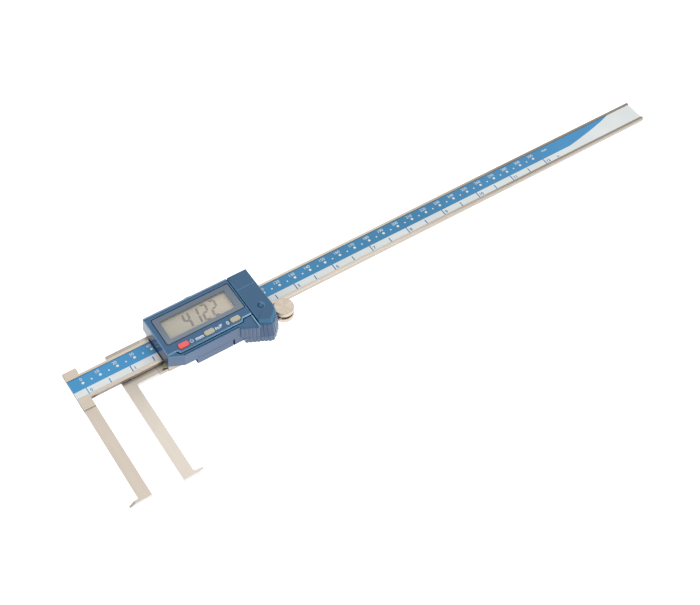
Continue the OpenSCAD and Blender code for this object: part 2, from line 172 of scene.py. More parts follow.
def gradient(m, axis, a, b, stops, wave=0.0):
    """A ramp of painted light and shade that runs from a to b (millimetres along the beam, or across it) with a little
    unevenness.
    """
    v = m.coords((1, 1, 1))
    sep = m.node("ShaderNodeSeparateXYZ")
    m.link(v, sep.inputs[0])
    k = "XY".index(axis)
    t = m.maprange(sep.outputs[k], (a - ORG[k]) / 1000, (b - ORG[k]) / 1000, 0, 1)
    if wave:
        n = m.noise(v, 60, 2.0, 0.5)
        t = m.math("ADD", t, m.maprange(n, 0.3, 0.7, -wave, wave))
    return m.ramp(t, stops)


def ground_steel(name, col, grain="X", rough=(0.27, 0.36), contrast=0.07, fine=1.0, metal=1.0, aniso=0.0, painted_light_ramp=None):
    """Ground stainless: long fine scratches along the grain, soft mottling, a little spread in the gloss."""
    m = Mat(name, metal=metal)
    along, across = 140, 7000 * fine
    s = {"X": (along, across, across), "Y": (across, along, across), "Z": (across, across, along)}[grain]
    fine_n = m.noise(m.coords(s), 1.0, 4.0, 0.7)
    s2 = {"X": (45, 900, 900), "Y": (900, 45, 900), "Z": (900, 900, 45)}[grain]
    mid_n = m.noise(m.coords(s2), 1.0, 3.0, 0.5)
    cloud = m.noise(m.coords((60, 60, 60)), 1.0, 4.0, 0.6)
    c1 = m.ramp(fine_n, [(0.25, mul(col, 1 - contrast)), (0.75, mul(col, 1 + contrast * 0.7))])
    c2 = m.ramp(mid_n, [(0.3, (0.965, 0.965, 0.965)), (0.7, (1.0, 1.0, 1.0))])
    c3 = m.ramp(cloud, [(0.35, (0.975, 0.972, 0.965)), (0.65, (1.0, 1.0, 1.0))])
    c = m.mix(1.0, m.mix(1.0, c1, c2, "MULTIPLY"), c3, "MULTIPLY")
    # painted light and shade: the ramp lightens or darkens the steel along the part
    if painted_light_ramp:
        c = m.mix(1.0, c, gradient(m, *painted_light_ramp, 0.04), "MULTIPLY")
    m.color(c)
    m.rough(m.maprange(fine_n, 0.2, 0.8, rough[0], rough[1]))
    m.bump(fine_n, 0.12, 0.00001)
    if aniso:
        m.b.inputs["Anisotropic"].default_value = aniso
    return m.m


def moulded(name, col, rough=0.42, grain=0.35, speck=0.10, spec=0.5, coat=0.0, shine=0.16, painted_light_ramp=None):
    """Moulded plastic with an eroded grain, faint flow clouds and a light scatter of paler specks."""
    m = Mat(name, rough=rough, spec=spec)
    g = m.noise(m.coords((1, 1, 1)), 5200, 3.0, 0.6)
    cloud = m.noise(m.coords((1, 1, 1)), 70, 3.0, 0.5)
    c1 = m.ramp(g, [(0.3, mul(col, 1 - speck)), (0.5, col), (0.75, mul(col, 1 + speck))])
    c2 = m.ramp(cloud, [(0.3, (0.94, 0.95, 0.96)), (0.7, (1.0, 1.0, 1.0))])
    c = m.mix(1.0, c1, c2, "MULTIPLY")
    # painted light and shade: the ramp lightens or darkens the plastic along the part
    if painted_light_ramp:
        c = m.mix(1.0, c, gradient(m, painted_light_ramp[0], painted_light_ramp[1], painted_light_ramp[2], painted_light_ramp[3], 0.1), "MULTIPLY")
    m.color(c)
    m.rough(m.maprange(g, 0.2, 0.8, rough - 0.05, rough + 0.07))
    m.bump(g, grain, 0.00003)
    if coat:
        m.b.inputs["Coat Weight"].default_value = coat
        m.b.inputs["Coat Roughness"].default_value = shine
        m.b.inputs["Coat IOR"].default_value = 1.6
    return m.m


def printed(name, col, rough=0.32, var=0.05, painted_light_ramp=None):
    """Printed film: flat ink with a faint orange peel and a trace of dust in the gloss."""
    m = Mat(name, rough=rough, spec=0.5)
    g = m.noise(m.coords((1, 1, 1)), 2600, 2.0, 0.5)
    cloud = m.noise(m.coords((1, 1, 1)), 40, 3.0, 0.5)
    c1 = m.ramp(cloud, [(0.3, mul(col, 1 - var)), (0.7, mul(col, 1 + var))])
    # painted light and shade: the ramp lightens or darkens the film along the beam
    if painted_light_ramp:
        c1 = m.mix(1.0, c1, gradient(m, *painted_light_ramp, 0.03), "MULTIPLY")
    m.color(c1)
    m.rough(m.maprange(g, 0.25, 0.75, rough - 0.04, rough + 0.08))
    m.bump(g, 0.12, 0.00001)
    return m.m


def turned(name, col, rough=(0.2, 0.34), aniso=0.6, pitch=0.00022, painted_sheen_sectors=False):
    """Turned metal: rings about the object's own z axis, with the gloss drawn round them."""
    m = Mat(name, metal=1.0)
    v = m.coords((1, 1, 1))
    sep = m.node("ShaderNodeSeparateXYZ")
    m.link(v, sep.inputs[0])
    r = m.math("SQRT", m.math("ADD", m.math("MULTIPLY", sep.outputs[0], sep.outputs[0]),
                              m.math("MULTIPLY", sep.outputs[1], sep.outputs[1])))
    comb = m.node("ShaderNodeCombineXYZ")
    m.link(r, comb.inputs[0])
    m.link(m.math("MULTIPLY", sep.outputs[2], 0.4), comb.inputs[1])
    ring = m.noise(comb.outputs[0], 1.0 / pitch, 2.0, 0.6)
    cloud = m.noise(v, 400, 3.0, 0.5)
    c1 = m.ramp(ring, [(0.3, mul(col, 0.955)), (0.7, mul(col, 1.03))])
    c2 = m.ramp(cloud, [(0.3, (0.98, 0.975, 0.97)), (0.7, (1, 1, 1))])
    c = m.mix(1.0, c1, c2, "MULTIPLY")
    if painted_sheen_sectors:
        # painted sheen: the colour is lighter and darker in soft sectors, for the way the lathe marks catch the light
        fan = m.node("ShaderNodeCombineXYZ")
        m.link(m.math("DIVIDE", sep.outputs[0], r), fan.inputs[0])
        m.link(m.math("DIVIDE", sep.outputs[1], r), fan.inputs[1])
        f = m.noise(fan.outputs[0], 1.7, 2.0, 0.5)
        c = m.mix(1.0, c, m.ramp(f, [(0.35, (0.86, 0.85, 0.83)), (0.62, (1.0, 1.0, 1.0))]), "MULTIPLY")
    m.color(c)
    m.rough(m.maprange(ring, 0.25, 0.75, rough[0], rough[1]))
    m.bump(ring, 0.06, 0.00001)
    if aniso:
        m.b.inputs["Anisotropic"].default_value = aniso
        t = m.node("ShaderNodeTangent", direction_type="RADIAL", axis="Z")
        m.link(t.outputs[0], m.b.inputs["Tangent"])
    return m.m


def plain_metal(name, col, rough=0.35, scale=1500):
    m = Mat(name, metal=1.0)
    n = m.noise(m.coords((1, 1, 1)), scale, 3.0, 0.6)
    m.color(m.ramp(n, [(0.3, mul(col, 0.93)), (0.7, mul(col, 1.04))]))
    m.rough(m.maprange(n, 0.25, 0.75, rough - 0.04, rough + 0.05))
    m.bump(n, 0.08, 0.00001)
    return m.m


STEEL = [0.685, 0.605, 0.51]
MATS = {
    "beam": ground_steel("beam_ground", STEEL, "X"),
    # fixed arm: painted shade, the steel a little darker towards the root of the jaw
    "arm": ground_steel("arm_ground_painted_shade", [0.675, 0.60, 0.505], "Y", painted_light_ramp=("Y", 14, -86, [(0.0, (0.92, 0.915, 0.90)), (0.3, (0.94, 0.94, 0.95)), (0.6, (1.0, 1.0, 1.0))])),
    # moving arm: painted shade, the steel much darker towards the root of the jaw
    "arm2": ground_steel("arm_ground_2_painted_shade", [0.75, 0.68, 0.595], "Y", painted_light_ramp=("Y", 14, -86, [(0.0, (0.58, 0.58, 0.575)), (0.12, (0.66, 0.66, 0.655)), (0.26, (0.76, 0.76, 0.76)), (0.38, (0.87, 0.865, 0.86)), (0.58, (1.0, 1.0, 1.0))])),
    "frame": ground_steel("frame_ground", [0.60, 0.545, 0.475], "X", rough=(0.3, 0.42)),
    # top rails: painted shade, the steel darker towards the far end of the beam
    "rail": ground_steel("rail_ground_painted_shade", STEEL, "X", painted_light_ramp=("X", 180, 380, [(0.0, (0.96, 0.96, 0.95)), (0.1, (0.885, 0.885, 0.865)), (0.2, (0.80, 0.79, 0.77)), (0.3, (0.70, 0.70, 0.68)),
                                                                        (0.4, (0.57, 0.57, 0.55)), (0.5, (0.475, 0.465, 0.445)), (1.0, (0.46, 0.445, 0.42))])),
    # upright faces of the beam and the slider frame: a darker copy of the steel, painted shade, with a painted shadow
    # near the fixed jaw's root
    "beam_side": ground_steel("beam_side_painted_shade", [0.47, 0.425, 0.385], "X", rough=(0.3, 0.42), painted_light_ramp=("X", 0, 40, [(0.06, (0.24, 0.22, 0.21)), (0.11, (0.56, 0.55, 0.57)), (0.43, (0.66, 0.65, 0.66)), (0.60, (1.0, 1.0, 1.0))])),
    # upright faces of the arms: a greyer copy of the steel, painted reflection
    "arm_side": ground_steel("arm_side_painted_reflection", [0.66, 0.64, 0.63], "Y", rough=(0.3, 0.42)),
    # painted shade: a near-black metal for the neck between the roller's flanges, where the gap lies in shade
    "dark": plain_metal("spool_neck_painted_shade", [0.09, 0.075, 0.06], 0.3),
    "screw": plain_metal("screw_steel_mat", [0.42, 0.41, 0.40], 0.32),
    "spring": plain_metal("spring_mat", [0.22, 0.20, 0.18], 0.28),
    "brass": plain_metal("brass_mat", [0.76, 0.58, 0.28], 0.34),
    "gold": plain_metal("plated_mat", [0.83, 0.66, 0.34], 0.24),
    # white film: its own colour, with painted light and shade along the beam
    "white": printed("film_white_with_painted_light", [0.83, 0.86, 0.83], painted_light_ramp=("X", 0, 370, [(0.0, (1.0, 1.0, 1.0)), (0.33, (0.91, 0.91, 0.92)), (0.6, (0.91, 0.92, 0.93)), (1.0, (1.0, 1.0, 1.0))])),
    # blue band: its own colour, with painted light and shade along the beam
    "blue_ink": printed("film_blue_with_painted_light", [0.053, 0.322, 0.625], painted_light_ramp=("X", 0, 330, [(0.0, (1.0, 1.0, 0.97)), (0.12, (1.0, 0.95, 0.96)), (0.33, (0.84, 0.80, 0.78)), (0.62, (0.66, 0.69, 0.66)), (0.85, (0.95, 0.84, 0.83)), (1.0, (1.0, 0.93, 0.92))])),
    "dot_ink": printed("ink_white", lin("#F2EEE2")),
    # inch marks: their own blue, with painted light, much lighter near the zero end
    "tick_ink": printed("ink_blue_with_painted_light", [0.085, 0.34, 0.63], painted_light_ramp=("X", 0, 120, [(0.0, (1.0, 1.0, 1.0)), (0.25, (0.30, 0.50, 0.74)), (0.9, (0.19, 0.38, 0.56))])),
    # dark line: a real seam at the jaw's joint, and painted shadow along the strip's edges
    "joint": printed("joint_and_shadow_line", [0.20, 0.155, 0.12]),
    "board": None,
    "house": moulded("housing_blue", [0.016, 0.112, 0.247], grain=0.25, speck=0.06, spec=0.25, coat=0.75, shine=0.15),
    # painted highlight: a lighter blue for the rounded rims of the housing and the cover
    "edge": moulded("housing_edge_painted_highlight", [0.105, 0.300, 0.480], grain=0.1, speck=0.03, spec=0.4, coat=0.8, shine=0.12),
    # painted highlight: a pale blue for the ridge beside the battery cover
    "ridge": moulded("housing_ridge_painted_highlight", [0.24, 0.49, 0.66], grain=0.1, speck=0.02, spec=0.4, coat=0.8, shine=0.1),
    # painted reflection and shade: the front walls in a redder blue that darkens towards the right
    "wall": moulded("housing_wall_painted_reflection_and_shade", [0.038, 0.108, 0.230], grain=0.25, speck=0.06, spec=0.25, coat=0.75, shine=0.15, painted_light_ramp=("X", 55, 80, [(0.0, (1.0, 1.0, 1.0)), (1.0, (0.66, 0.76, 0.82))])),
    # painted highlight: a lighter blue for the front slopes of the deck and the cover
    "slope": moulded("housing_slope_painted_highlight", [0.034, 0.172, 0.320], grain=0.15, speck=0.04, spec=0.3, coat=0.8, shine=0.12),
    # painted highlight: a pale blue for the housing's left top edge and a bright spot at the dimple
    "lead": moulded("housing_lead_painted_highlight", [0.15, 0.29, 0.46], grain=0.1, speck=0.03, spec=0.3, coat=0.6, shine=0.2),
    # painted highlight: a pale blue for the rounded rear rim of the housing
    "rear_rim": moulded("housing_rear_rim_painted_highlight", [0.15, 0.26, 0.40], grain=0.1, speck=0.03, spec=0.3, coat=0.6, shine=0.2),
    # painted shade: a dark blue ring inside the cover's dimple
    "dimple": moulded("housing_dimple_painted_shade", [0.007, 0.050, 0.112], grain=0.1, speck=0.03, spec=0.25),
    "shade": moulded("housing_shade", [0.010, 0.018, 0.034], rough=0.9, grain=0.1, speck=0.03, spec=0.0),
    # painted light: a lighter copy of the steel for the step at the fixed jaw's root
    "joint_face": plain_metal("root_step_painted_light", [0.76, 0.68, 0.60], 0.4),
    # painted shade: a dark copy of the steel for the fixed arm's left faces
    "arm_edge": ground_steel("arm_edge_painted_shade", [0.37, 0.33, 0.295], "Y", rough=(0.3, 0.42)),
    "tab": moulded("board_tab_green", [0.34, 0.35, 0.19], rough=0.5, grain=0.2, speck=0.06, spec=0.3),
    # painted shade: near-black blue for the floors of the grooves
    "groove": moulded("housing_groove_painted_shade", [0.004, 0.022, 0.055], grain=0.1, speck=0.03, spec=0.2),
    "cover": moulded("cover_blue", [0.012, 0.100, 0.214], grain=0.3, speck=0.08, spec=0.25, coat=0.7, shine=0.18),
    "rubber": moulded("rubber_black", [0.012, 0.012, 0.013], rough=0.6, grain=0.5, spec=0.3),
    "block": moulded("block_black", [0.02, 0.02, 0.021], rough=0.5),
    "red": moulded("red_plastic_mat", lin("#FF6B66"), rough=0.36, grain=0.12, speck=0.02),
    "beige": moulded("beige_plastic_mat", lin("#C6C0A9"), rough=0.38, grain=0.12, speck=0.02),
    "cell": plain_metal("cell_mat", [0.74, 0.73, 0.71], 0.2),
    # roller face: turned nickel, with painted sheen in soft sectors
    "nickel": turned("nickel_turned_painted_sheen", [0.70, 0.605, 0.50], rough=(0.30, 0.38), aniso=0.5, painted_sheen_sectors=True),
    "knurl": plain_metal("nickel_knurl", [0.60, 0.52, 0.43], 0.28, 900),
    "symbols": printed("symbol_white", lin("#E6EAEE"), rough=0.5),
    # painted shade: a black ring for the shaded gap round the window's edge
    "rim": printed("window_gap_shade_mat", [0.012, 0.014, 0.018], rough=0.3),
    # painted shade: the tan-brown of the shaded walls round the display
    "bezel": moulded("display_bezel_painted_shade", lin("#94866F"), rough=0.6, grain=0.15, speck=0.03, spec=0.2),
    "end": None,
}


def pcb_mat():
    m = Mat("board_mask", rough=0.3)
    v = m.coords((1, 1, 1))
    n = m.noise(v, 900, 2.0, 0.5)
    w = m.node("ShaderNodeTexWave", wave_type="BANDS", bands_direction="X")
    w.inputs["Scale"].default_value = 420
    w.inputs["Distortion"].default_value = 6
    m.link(v, w.inputs["Vector"])
    c = m.ramp(n, [(0.3, (0.10, 0.16, 0.025)), (0.7, (0.17, 0.25, 0.05))])
    traces = m.ramp(w.outputs["Fac"], [(0.0, (0.85, 0.85, 0.85)), (0.75, (1, 1, 1)), (0.8, (1.35, 1.3, 1.1))])
    m.color(m.mix(1.0, c, traces, "MULTIPLY"))
    m.bump(n, 0.1, 0.00002)
    return m.m


def lcd_mat():
    m = Mat("lcd_surface_painted_light", rough=0.45, spec=0.3)
    n = m.noise(m.coords((1, 1, 1)), 3000, 2.0, 0.5)
    # painted light: the display surface lighter towards the right
    c = gradient(m, "X", 50, 88, [(0.0, lin("#BFB89F")), (0.45, lin("#CBC0A8")), (1.0, lin("#DBCCB3"))], 0.12)
    m.color(m.mix(1.0, c, m.ramp(n, [(0.3, (0.97, 0.97, 0.97)), (0.7, (1, 1, 1))]), "MULTIPLY"))
    m.bump(n, 0.08, 0.00001)
    return m.m


def segment_mat(name, left, right):
    m = Mat(name, rough=0.45, spec=0.4)
    # painted light: the bars lighter towards the right
    m.color(gradient(m, "X", 58, 82, [(0.0, lin(left)), (1.0, lin(right))], 0.1))
    n = m.noise(m.coords((1, 1, 1)), 2600, 2.0, 0.5)
    m.rough(m.maprange(n, 0.25, 0.75, 0.42, 0.5))
    return m.m


def border_mat():
    m = Mat("window_border_painted_reflection", rough=0.14)
    # painted reflection: the printed border lighter towards the front and darker towards the rear
    c = gradient(m, "Y", -9, 9, [(0.0, lin("#7F8B98")), (0.6, lin("#717F8E")), (1.0, lin("#6A7888"))], 0.15)
    n = m.noise(m.coords((1, 1, 1)), 1800, 2.0, 0.5)
    m.color(m.mix(1.0, c, m.ramp(n, [(0.3, (0.97, 0.97, 0.97)), (0.7, (1, 1, 1))]), "MULTIPLY"))
    m.rough(m.maprange(n, 0.25, 0.75, 0.1, 0.18))
    return m.m


def end_mat():
    """The polished end wall beside the scale: its base colour is a painted shade darker than the housing's, and it is
    bright with what stands in front of it.
    """
    m = Mat("housing_end_gloss_painted_shade", rough=0.22, spec=0.5, ior=2.65)
    n = m.noise(m.coords((1, 1, 1)), 260, 3.0, 0.5)
    m.color(m.ramp(n, [(0.3, (0.028, 0.058, 0.120)), (0.7, (0.034, 0.070, 0.140))]))
    m.b.inputs["Specular Tint"].default_value = (0.88, 0.93, 1.0, 1.0)
    m.rough(m.maprange(n, 0.25, 0.75, 0.20, 0.28))
    m.bump(n, 0.05, 0.00003)
    return m.m


def clear_mat():
    m = Mat("window_clear_mat", rough=0.05, spec=0.5, ior=1.49)
    n = m.noise(m.coords((1, 1, 1)), 300, 2.0, 0.5)
    m.color(m.ramp(n, [(0.3, (0.80, 0.83, 0.86)), (0.7, (0.84, 0.86, 0.88))]))
    m.b.inputs["Alpha"].default_value = 0.10
    m.bump(n, 0.03, 0.00002)
    m.m.surface_render_method = "BLENDED"
    return m.m


MATS["board"] = pcb_mat()
MATS["border"] = border_mat()
MATS["end"] = end_mat()
MATS["segment"] = segment_mat("segment_dark_painted_light", "#75675B", "#988571")
MATS["ghost"] = segment_mat("segment_faint_painted_light", "#B3AC9C", "#BEB5A4")
MATS["lcd"] = lcd_mat()
MATS["clear"] = clear_mat()


# ------------------------------------------------------------------ outlines
def arc(cx, cy, r, a0, a1, n=8):
    return [(cx + r * cos(radians(a0 + (a1 - a0) * i / n)), cy + r * sin(radians(a0 + (a1 - a0) * i / n)))
            for i in range(n + 1)]


def rrect(x0, y0, x1, y1, r, n=8):
    return (arc(x1 - r, y1 - r, r, 0, 90, n) + arc(x0 + r, y1 - r, r, 90, 180, n)
            + arc(x0 + r, y0 + r, r, 180, 270, n) + arc(x1 - r, y0 + r, r, 270, 360, n))


def ccw(poly):
    a = sum(poly[i - 1][0] * poly[i][1] - poly[i][0] * poly[i - 1][1] for i in range(len(poly)))
    return list(poly) if a > 0 else list(reversed(poly))


def inset(poly, d):
    """A counter-clockwise outline moved inward by d (outward for a negative d)."""
    out = []
    m = len(poly)
    for i in range(m):
        p, a, b = Vector(poly[i]), Vector(poly[i - 1]), Vector(poly[(i + 1) % m])
        u, v = (p - a).normalized(), (b - p).normalized()
        n0, n1 = Vector((-u.y, u.x)), Vector((-v.y, v.x))
        k = 1 + n0.dot(n1)
        q = p + (n0 + n1) * (d / max(k, 0.35))
        out.append((q.x, q.y))
    return out


def soften(poly, r, n=5):
    """Rounds the corners of an outline. r is one radius or one for each corner."""
    out = []
    m = len(poly)
    for i in range(m):
        p, a, b = Vector(poly[i]), Vector(poly[i - 1]), Vector(poly[(i + 1) % m])
        ri = r[i] if hasattr(r, "__len__") else r
        u, v = (a - p), (b - p)
        lu, lv = u.length, v.length
        u, v = u / lu, v / lv
        ang = acos(max(-1, min(1, u.dot(v))))
        if ri <= 0 or ang > radians(177):
            out.append((p.x, p.y))
            continue
        t = min(ri / tan(ang / 2), 0.45 * lu, 0.45 * lv)
        rr = t * tan(ang / 2)
        c = p + (u + v).normalized() * (rr / sin(ang / 2))
        s, e = p + u * t, p + v * t
        a0, a1 = atan2(s.y - c.y, s.x - c.x), atan2(e.y - c.y, e.x - c.x)
        d = (a1 - a0 + pi) % (2 * pi) - pi
        for k in range(n + 1):
            q = a0 + d * k / n
            out.append((c.x + rr * cos(q), c.y + rr * sin(q)))
    return out


# ------------------------------------------------------------------ solids, as (vertices, faces)
def loft(rings, cap0=True, cap1=True):
    m = len(rings[0])
    verts = [tuple(p) for r in rings for p in r]
    faces = []
    for k in range(len(rings) - 1):
        for i in range(m):
            j = (i + 1) % m
            faces.append((k * m + i, k * m + j, (k + 1) * m + j, (k + 1) * m + i))
    if cap0:
        faces.append(tuple(reversed(range(m))))
    if cap1:
        faces.append(tuple((len(rings) - 1) * m + i for i in range(m)))
    return verts, faces


def plate(low, high, z0, z1, r0=0.0, r1=0.0, n=4):
    """A plate between two outlines with as many points, its rims rounded by r0 below and r1 above."""
    def at(z):
        t = (z - z0) / (z1 - z0)
        return [(a[0] + (b[0] - a[0]) * t, a[1] + (b[1] - a[1]) * t) for a, b in zip(low, high)]
    rings = []
    steps = []
    if r0 > 0:
        steps += [(z0 + r0 * (1 - cos(radians(90 * k / n))), r0 * (1 - sin(radians(90 * k / n)))) for k in range(n)]
        steps.append((z0 + r0, 0))
    else:
        steps.append((z0, 0))
    if r1 > 0:
        steps.append((z1 - r1, 0))
        steps += [(z1 - r1 * (1 - sin(radians(90 * k / n))), r1 * (1 - cos(radians(90 * k / n)))) for k in range(1, n + 1)]
    else:
        steps.append((z1, 0))
    for z, d in steps:
        o = at(z)
        if d > 0:
            o = inset(o, d)
        rings.append([(x, y, z) for x, y in o])
    return loft(rings)


def prism(poly, z0, z1, r0=0.0, r1=0.0, n=4):
    poly = ccw(poly)
    return plate(poly, poly, z0, z1, r0, r1, n)


def cutter(poly, z0, z1, flare=0.1, n=3, floor_r=0.0):
    """A hole's cutter: straight up to the rim z1 - flare, opening there in a quarter round, then on up."""
    poly = ccw(poly)
    rings = []
    if floor_r > 0:
        rings += [(z0 + floor_r * (1 - cos(radians(90 * k / n))), floor_r * (1 - sin(radians(90 * k / n)))) for k in range(n)]
        rings.append((z0 + floor_r, 0))
    else:
        rings.append((z0, 0))
    rings.append((z1 - flare, 0))
    rings += [(z1 - flare + flare * sin(radians(90 * k / n)), -flare * (1 - cos(radians(90 * k / n)))) for k in range(1, n + 1)]
    rings.append((z1 + 3, -flare))
    return loft([[(x, y, z) for x, y in (inset(poly, d) if d else poly)] for z, d in rings])


def box(a, b, r=0.0, n=3):
    """Box between two corners; its upright edges and both rims are rounded by r."""
    if r <= 0:
        return prism([(a[0], a[1]), (b[0], a[1]), (b[0], b[1]), (a[0], b[1])], a[2], b[2])
    return prism(rrect(a[0], a[1], b[0], b[1], r, n), a[2], b[2], r * 0.999, r * 0.999, n)


def lathe(profile, n=64, wobble=None, close=True):
    """Turns (r, z) points about z. wobble(k, i, r) gives the radius at ring k and angle i."""
    rings = []
    for k, (r, z) in enumerate(profile):
        ring = []
        for i in range(n):
            a = 2 * pi * i / n
            q = wobble(k, i, r) if wobble else r
            ring.append((q * cos(a), q * sin(a), z))
        rings.append(ring)
    return loft(rings)


def moved(geo, m):
    v, f = geo
    return [tuple(m @ Vector(p)) for p in v], f


def at(geo, x=0, y=0, z=0):
    return [(p[0] + x, p[1] + y, p[2] + z) for p in geo[0]], geo[1]


def join(*geos):
    v, f = [], []
    for a, b in geos:
        k = len(v)
        v += list(a)
        f += [tuple(i + k for i in q) for q in b]
    return v, f


def flat(poly, z, dz):
    """A thin printed shape: outline, its level and its thickness."""
    return prism(poly, z, z + dz)


# ------------------------------------------------------------------ objects
def raw(name, geo):
    me = bpy.data.meshes.new(name)
    me.from_pydata([tuple(Vector(p) - ORG) for p in geo[0]], [], geo[1])
    me.update()
    bm = bmesh.new()
    bm.from_mesh(me)
    bmesh.ops.remove_doubles(bm, verts=bm.verts, dist=1e-5)
    bmesh.ops.recalc_face_normals(bm, faces=bm.faces)
    bm.to_mesh(me)
    bm.free()
    o = bpy.data.objects.new(name, me)
    bpy.context.scene.collection.objects.link(o)
    return o


def carve(base, steps):
    """Booleans in order: ("+" or "-", solid). Works at a size of millimetres."""
    o = raw("carve_base", base)
    tools = []
    for k, (sign, g) in enumerate(steps):
        t = raw(f"carve_{k}", g)
        tools.append(t)
        md = o.modifiers.new(f"b{k}", "BOOLEAN")
        md.operation = "UNION" if sign == "+" else "DIFFERENCE"
        md.solver = "MANIFOLD"
        md.object = t
    bpy.context.view_layer.update()
    dg = bpy.context.evaluated_depsgraph_get()
    me = bpy.data.meshes.new_from_object(o.evaluated_get(dg))
    geo = ([tuple(v.co + ORG) for v in me.vertices], [tuple(p.vertices) for p in me.polygons])
    for x in [o] + tools:
        d = x.data
        bpy.data.objects.remove(x)
        bpy.data.meshes.remove(d)
    bpy.data.meshes.remove(me)
    return geo


def finish_shading(o, angle=38, weighted=True):
    me = o.data
    me.polygons.foreach_set("use_smooth", [True] * len(me.polygons))
    me.set_sharp_from_angle(angle=radians(angle))
    if weighted:
        w = o.modifiers.new("normals", "WEIGHTED_NORMAL")
        w.keep_sharp = True
        w.mode = "FACE_AREA"
        w.weight = 50


def piece(name, geo, body, mat, replaces=(), angle=38, clean=False, origin=None, weighted=True):
    """A finished piece: millimetre geometry into the shared frame, riding on its body."""
    me = bpy.data.meshes.new(name)
    me.from_pydata([tuple(row(p)) for p in geo[0]], [], geo[1])
    me.update()
    bm = bmesh.new()
    bm.from_mesh(me)
    bmesh.ops.remove_doubles(bm, verts=bm.verts, dist=1.5e-6 if clean else 2e-8)
    if clean:
        bmesh.ops.dissolve_degenerate(bm, edges=bm.edges, dist=1e-6)
        bmesh.ops.triangulate(bm, faces=[f for f in bm.faces if len(f.verts) > 4], quad_method="BEAUTY", ngon_method="BEAUTY")
    bmesh.ops.recalc_face_normals(bm, faces=bm.faces)
    bm.to_mesh(me)
    bm.free()
    o = bpy.data.objects.new(name, me)
    bpy.context.scene.collection.objects.link(o)
    if origin is not None:
        c = row(origin)
        me.transform(Matrix.Translation(-c))
        o.location = c
    me.materials.append(MATS[mat])
    finish_shading(o, angle, weighted)
    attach(o, body)
    for n in replaces:
        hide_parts(n)
    return o


def refine(node, name, mat, width=0.1, seg=2, angle=32, side=None, top=None):
    """A construction node with its edges rounded: a clean copy of its surface, with a bevel on every corner.
    side is the material of its upright faces, a copy of the steel painted darker or greyer for the light on them, and
    top of those that face up."""
    src = frame["nodes"][node]
    me = src.data.copy()
    me.name = name
    me.materials.clear()
    bm = bmesh.new()
    bm.from_mesh(me)
    bmesh.ops.remove_doubles(bm, verts=bm.verts, dist=1e-6)
    bmesh.ops.dissolve_degenerate(bm, edges=bm.edges, dist=1e-6)
    bmesh.ops.dissolve_limit(bm, angle_limit=radians(0.8), verts=bm.verts, edges=bm.edges)
    bm.to_mesh(me)
    bm.free()
    o = bpy.data.objects.new(name, me)
    bpy.context.scene.collection.objects.link(o)
    me.materials.append(MATS[mat])
    if side:
        me.materials.append(MATS[side])
        for f in me.polygons:
            if abs(f.normal.z) < 0.3:
                f.material_index = 1
    if top:
        me.materials.append(MATS[top])
        for f in me.polygons:
            if f.normal.z > 0.9:
                f.material_index = len(me.materials) - 1
    if width > 0:
        b = o.modifiers.new("rim", "BEVEL")
        b.width = width * 0.001
        b.segments = seg
        b.limit_method = "ANGLE"
        b.angle_limit = radians(angle)
        b.use_clamp_overlap = True
        b.miter_outer = "MITER_ARC"
        b.harden_normals = False
    finish_shading(o, angle)
    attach(o, BODY_OF[node])
    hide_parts(node)
    return o


BODY_OF = {}
for _b, _members in frame["record"]["behaviour"]["bodies"].items():
    for _n in _members:
        BODY_OF[_n] = _b


def text_outline(s, size, shear=0.0, offset=0.0, spacing=1.0):
    """Flat triangles of a short text in the built-in face, centred on 0, size being the height of a numeral."""
    cu = bpy.data.curves.new("txt", "FONT")
    cu.body = s
    cu.size = 1.0
    cu.shear = shear
    cu.offset = offset
    cu.space_character = spacing
    cu.resolution_u = 5
    cu.extrude = 0.01
    o = bpy.data.objects.new("txt", cu)
    bpy.context.scene.collection.objects.link(o)
    bpy.context.view_layer.update()
    dg = bpy.context.evaluated_depsgraph_get()
    me = bpy.data.meshes.new_from_object(o.evaluated_get(dg))
    v = [tuple(x.co) for x in me.vertices]
    f = [tuple(p.vertices) for p in me.polygons]
    bpy.data.objects.remove(o)
    bpy.data.meshes.remove(me)
    bpy.data.curves.remove(cu)
    k = size / 0.729
    xs = [p[0] for p in v]
    cx = (min(xs) + max(xs)) / 2
    cy = 0.729 / 2
    return [((x - cx) * k, (y - cy) * k, z) for x, y, z in v], f


def text(s, x, y, z, dz, size, **kw):
    v, f = text_outline(s, size, **kw)
    return [(p[0] + x, p[1] + y, z + (dz if p[2] > 0 else 0.0)) for p in v], f


# ================================================================== beam side
# the beam: its top rails take the painted shade of the rail copy, its upright faces the darker side copy with painted
# shade
beam = refine("main_beam", "beam_body", "beam", 0.1, 3, side="beam_side", top="rail")
# the fixed arm: steel with painted shade at the root, its upright faces a greyer copy with painted reflection
fixed_arm = refine("fixed_jaw", "fixed_arm", "arm", 0.08, 3, side="arm_side")
refine("fixed_jaw_screws", "fixed_arm_screws", "screw", 0.08, 2)
refine("scale_grid", "grid_strip", "board", 0.03, 1)
refine("stop_screws", "end_stop_screws", "screw", 0.12, 2)

# printed strip
SX0, SX1, SY0, SY1 = -7.0, 380.5, -7.70, 4.60
BY = -3.47
piece("strip_base", prism([(SX0, SY0), (SX1, SY0), (SX1, SY1), (SX0, SY1)], -0.2, 0.0), "beam", "white",
      replaces=["scale_label"])
edge = [(325.5, BY), (327.5, BY + 0.18), (334, BY + 1.35), (344, BY + 3.15), (355, BY + 5.6), (361, BY + 7.35), (363.4, SY1)]
piece("strip_blue", flat([(SX0, BY), (325.5, BY)] + edge[1:] + [(SX0, SY1)], 0.0, 0.008), "beam", "blue_ink")

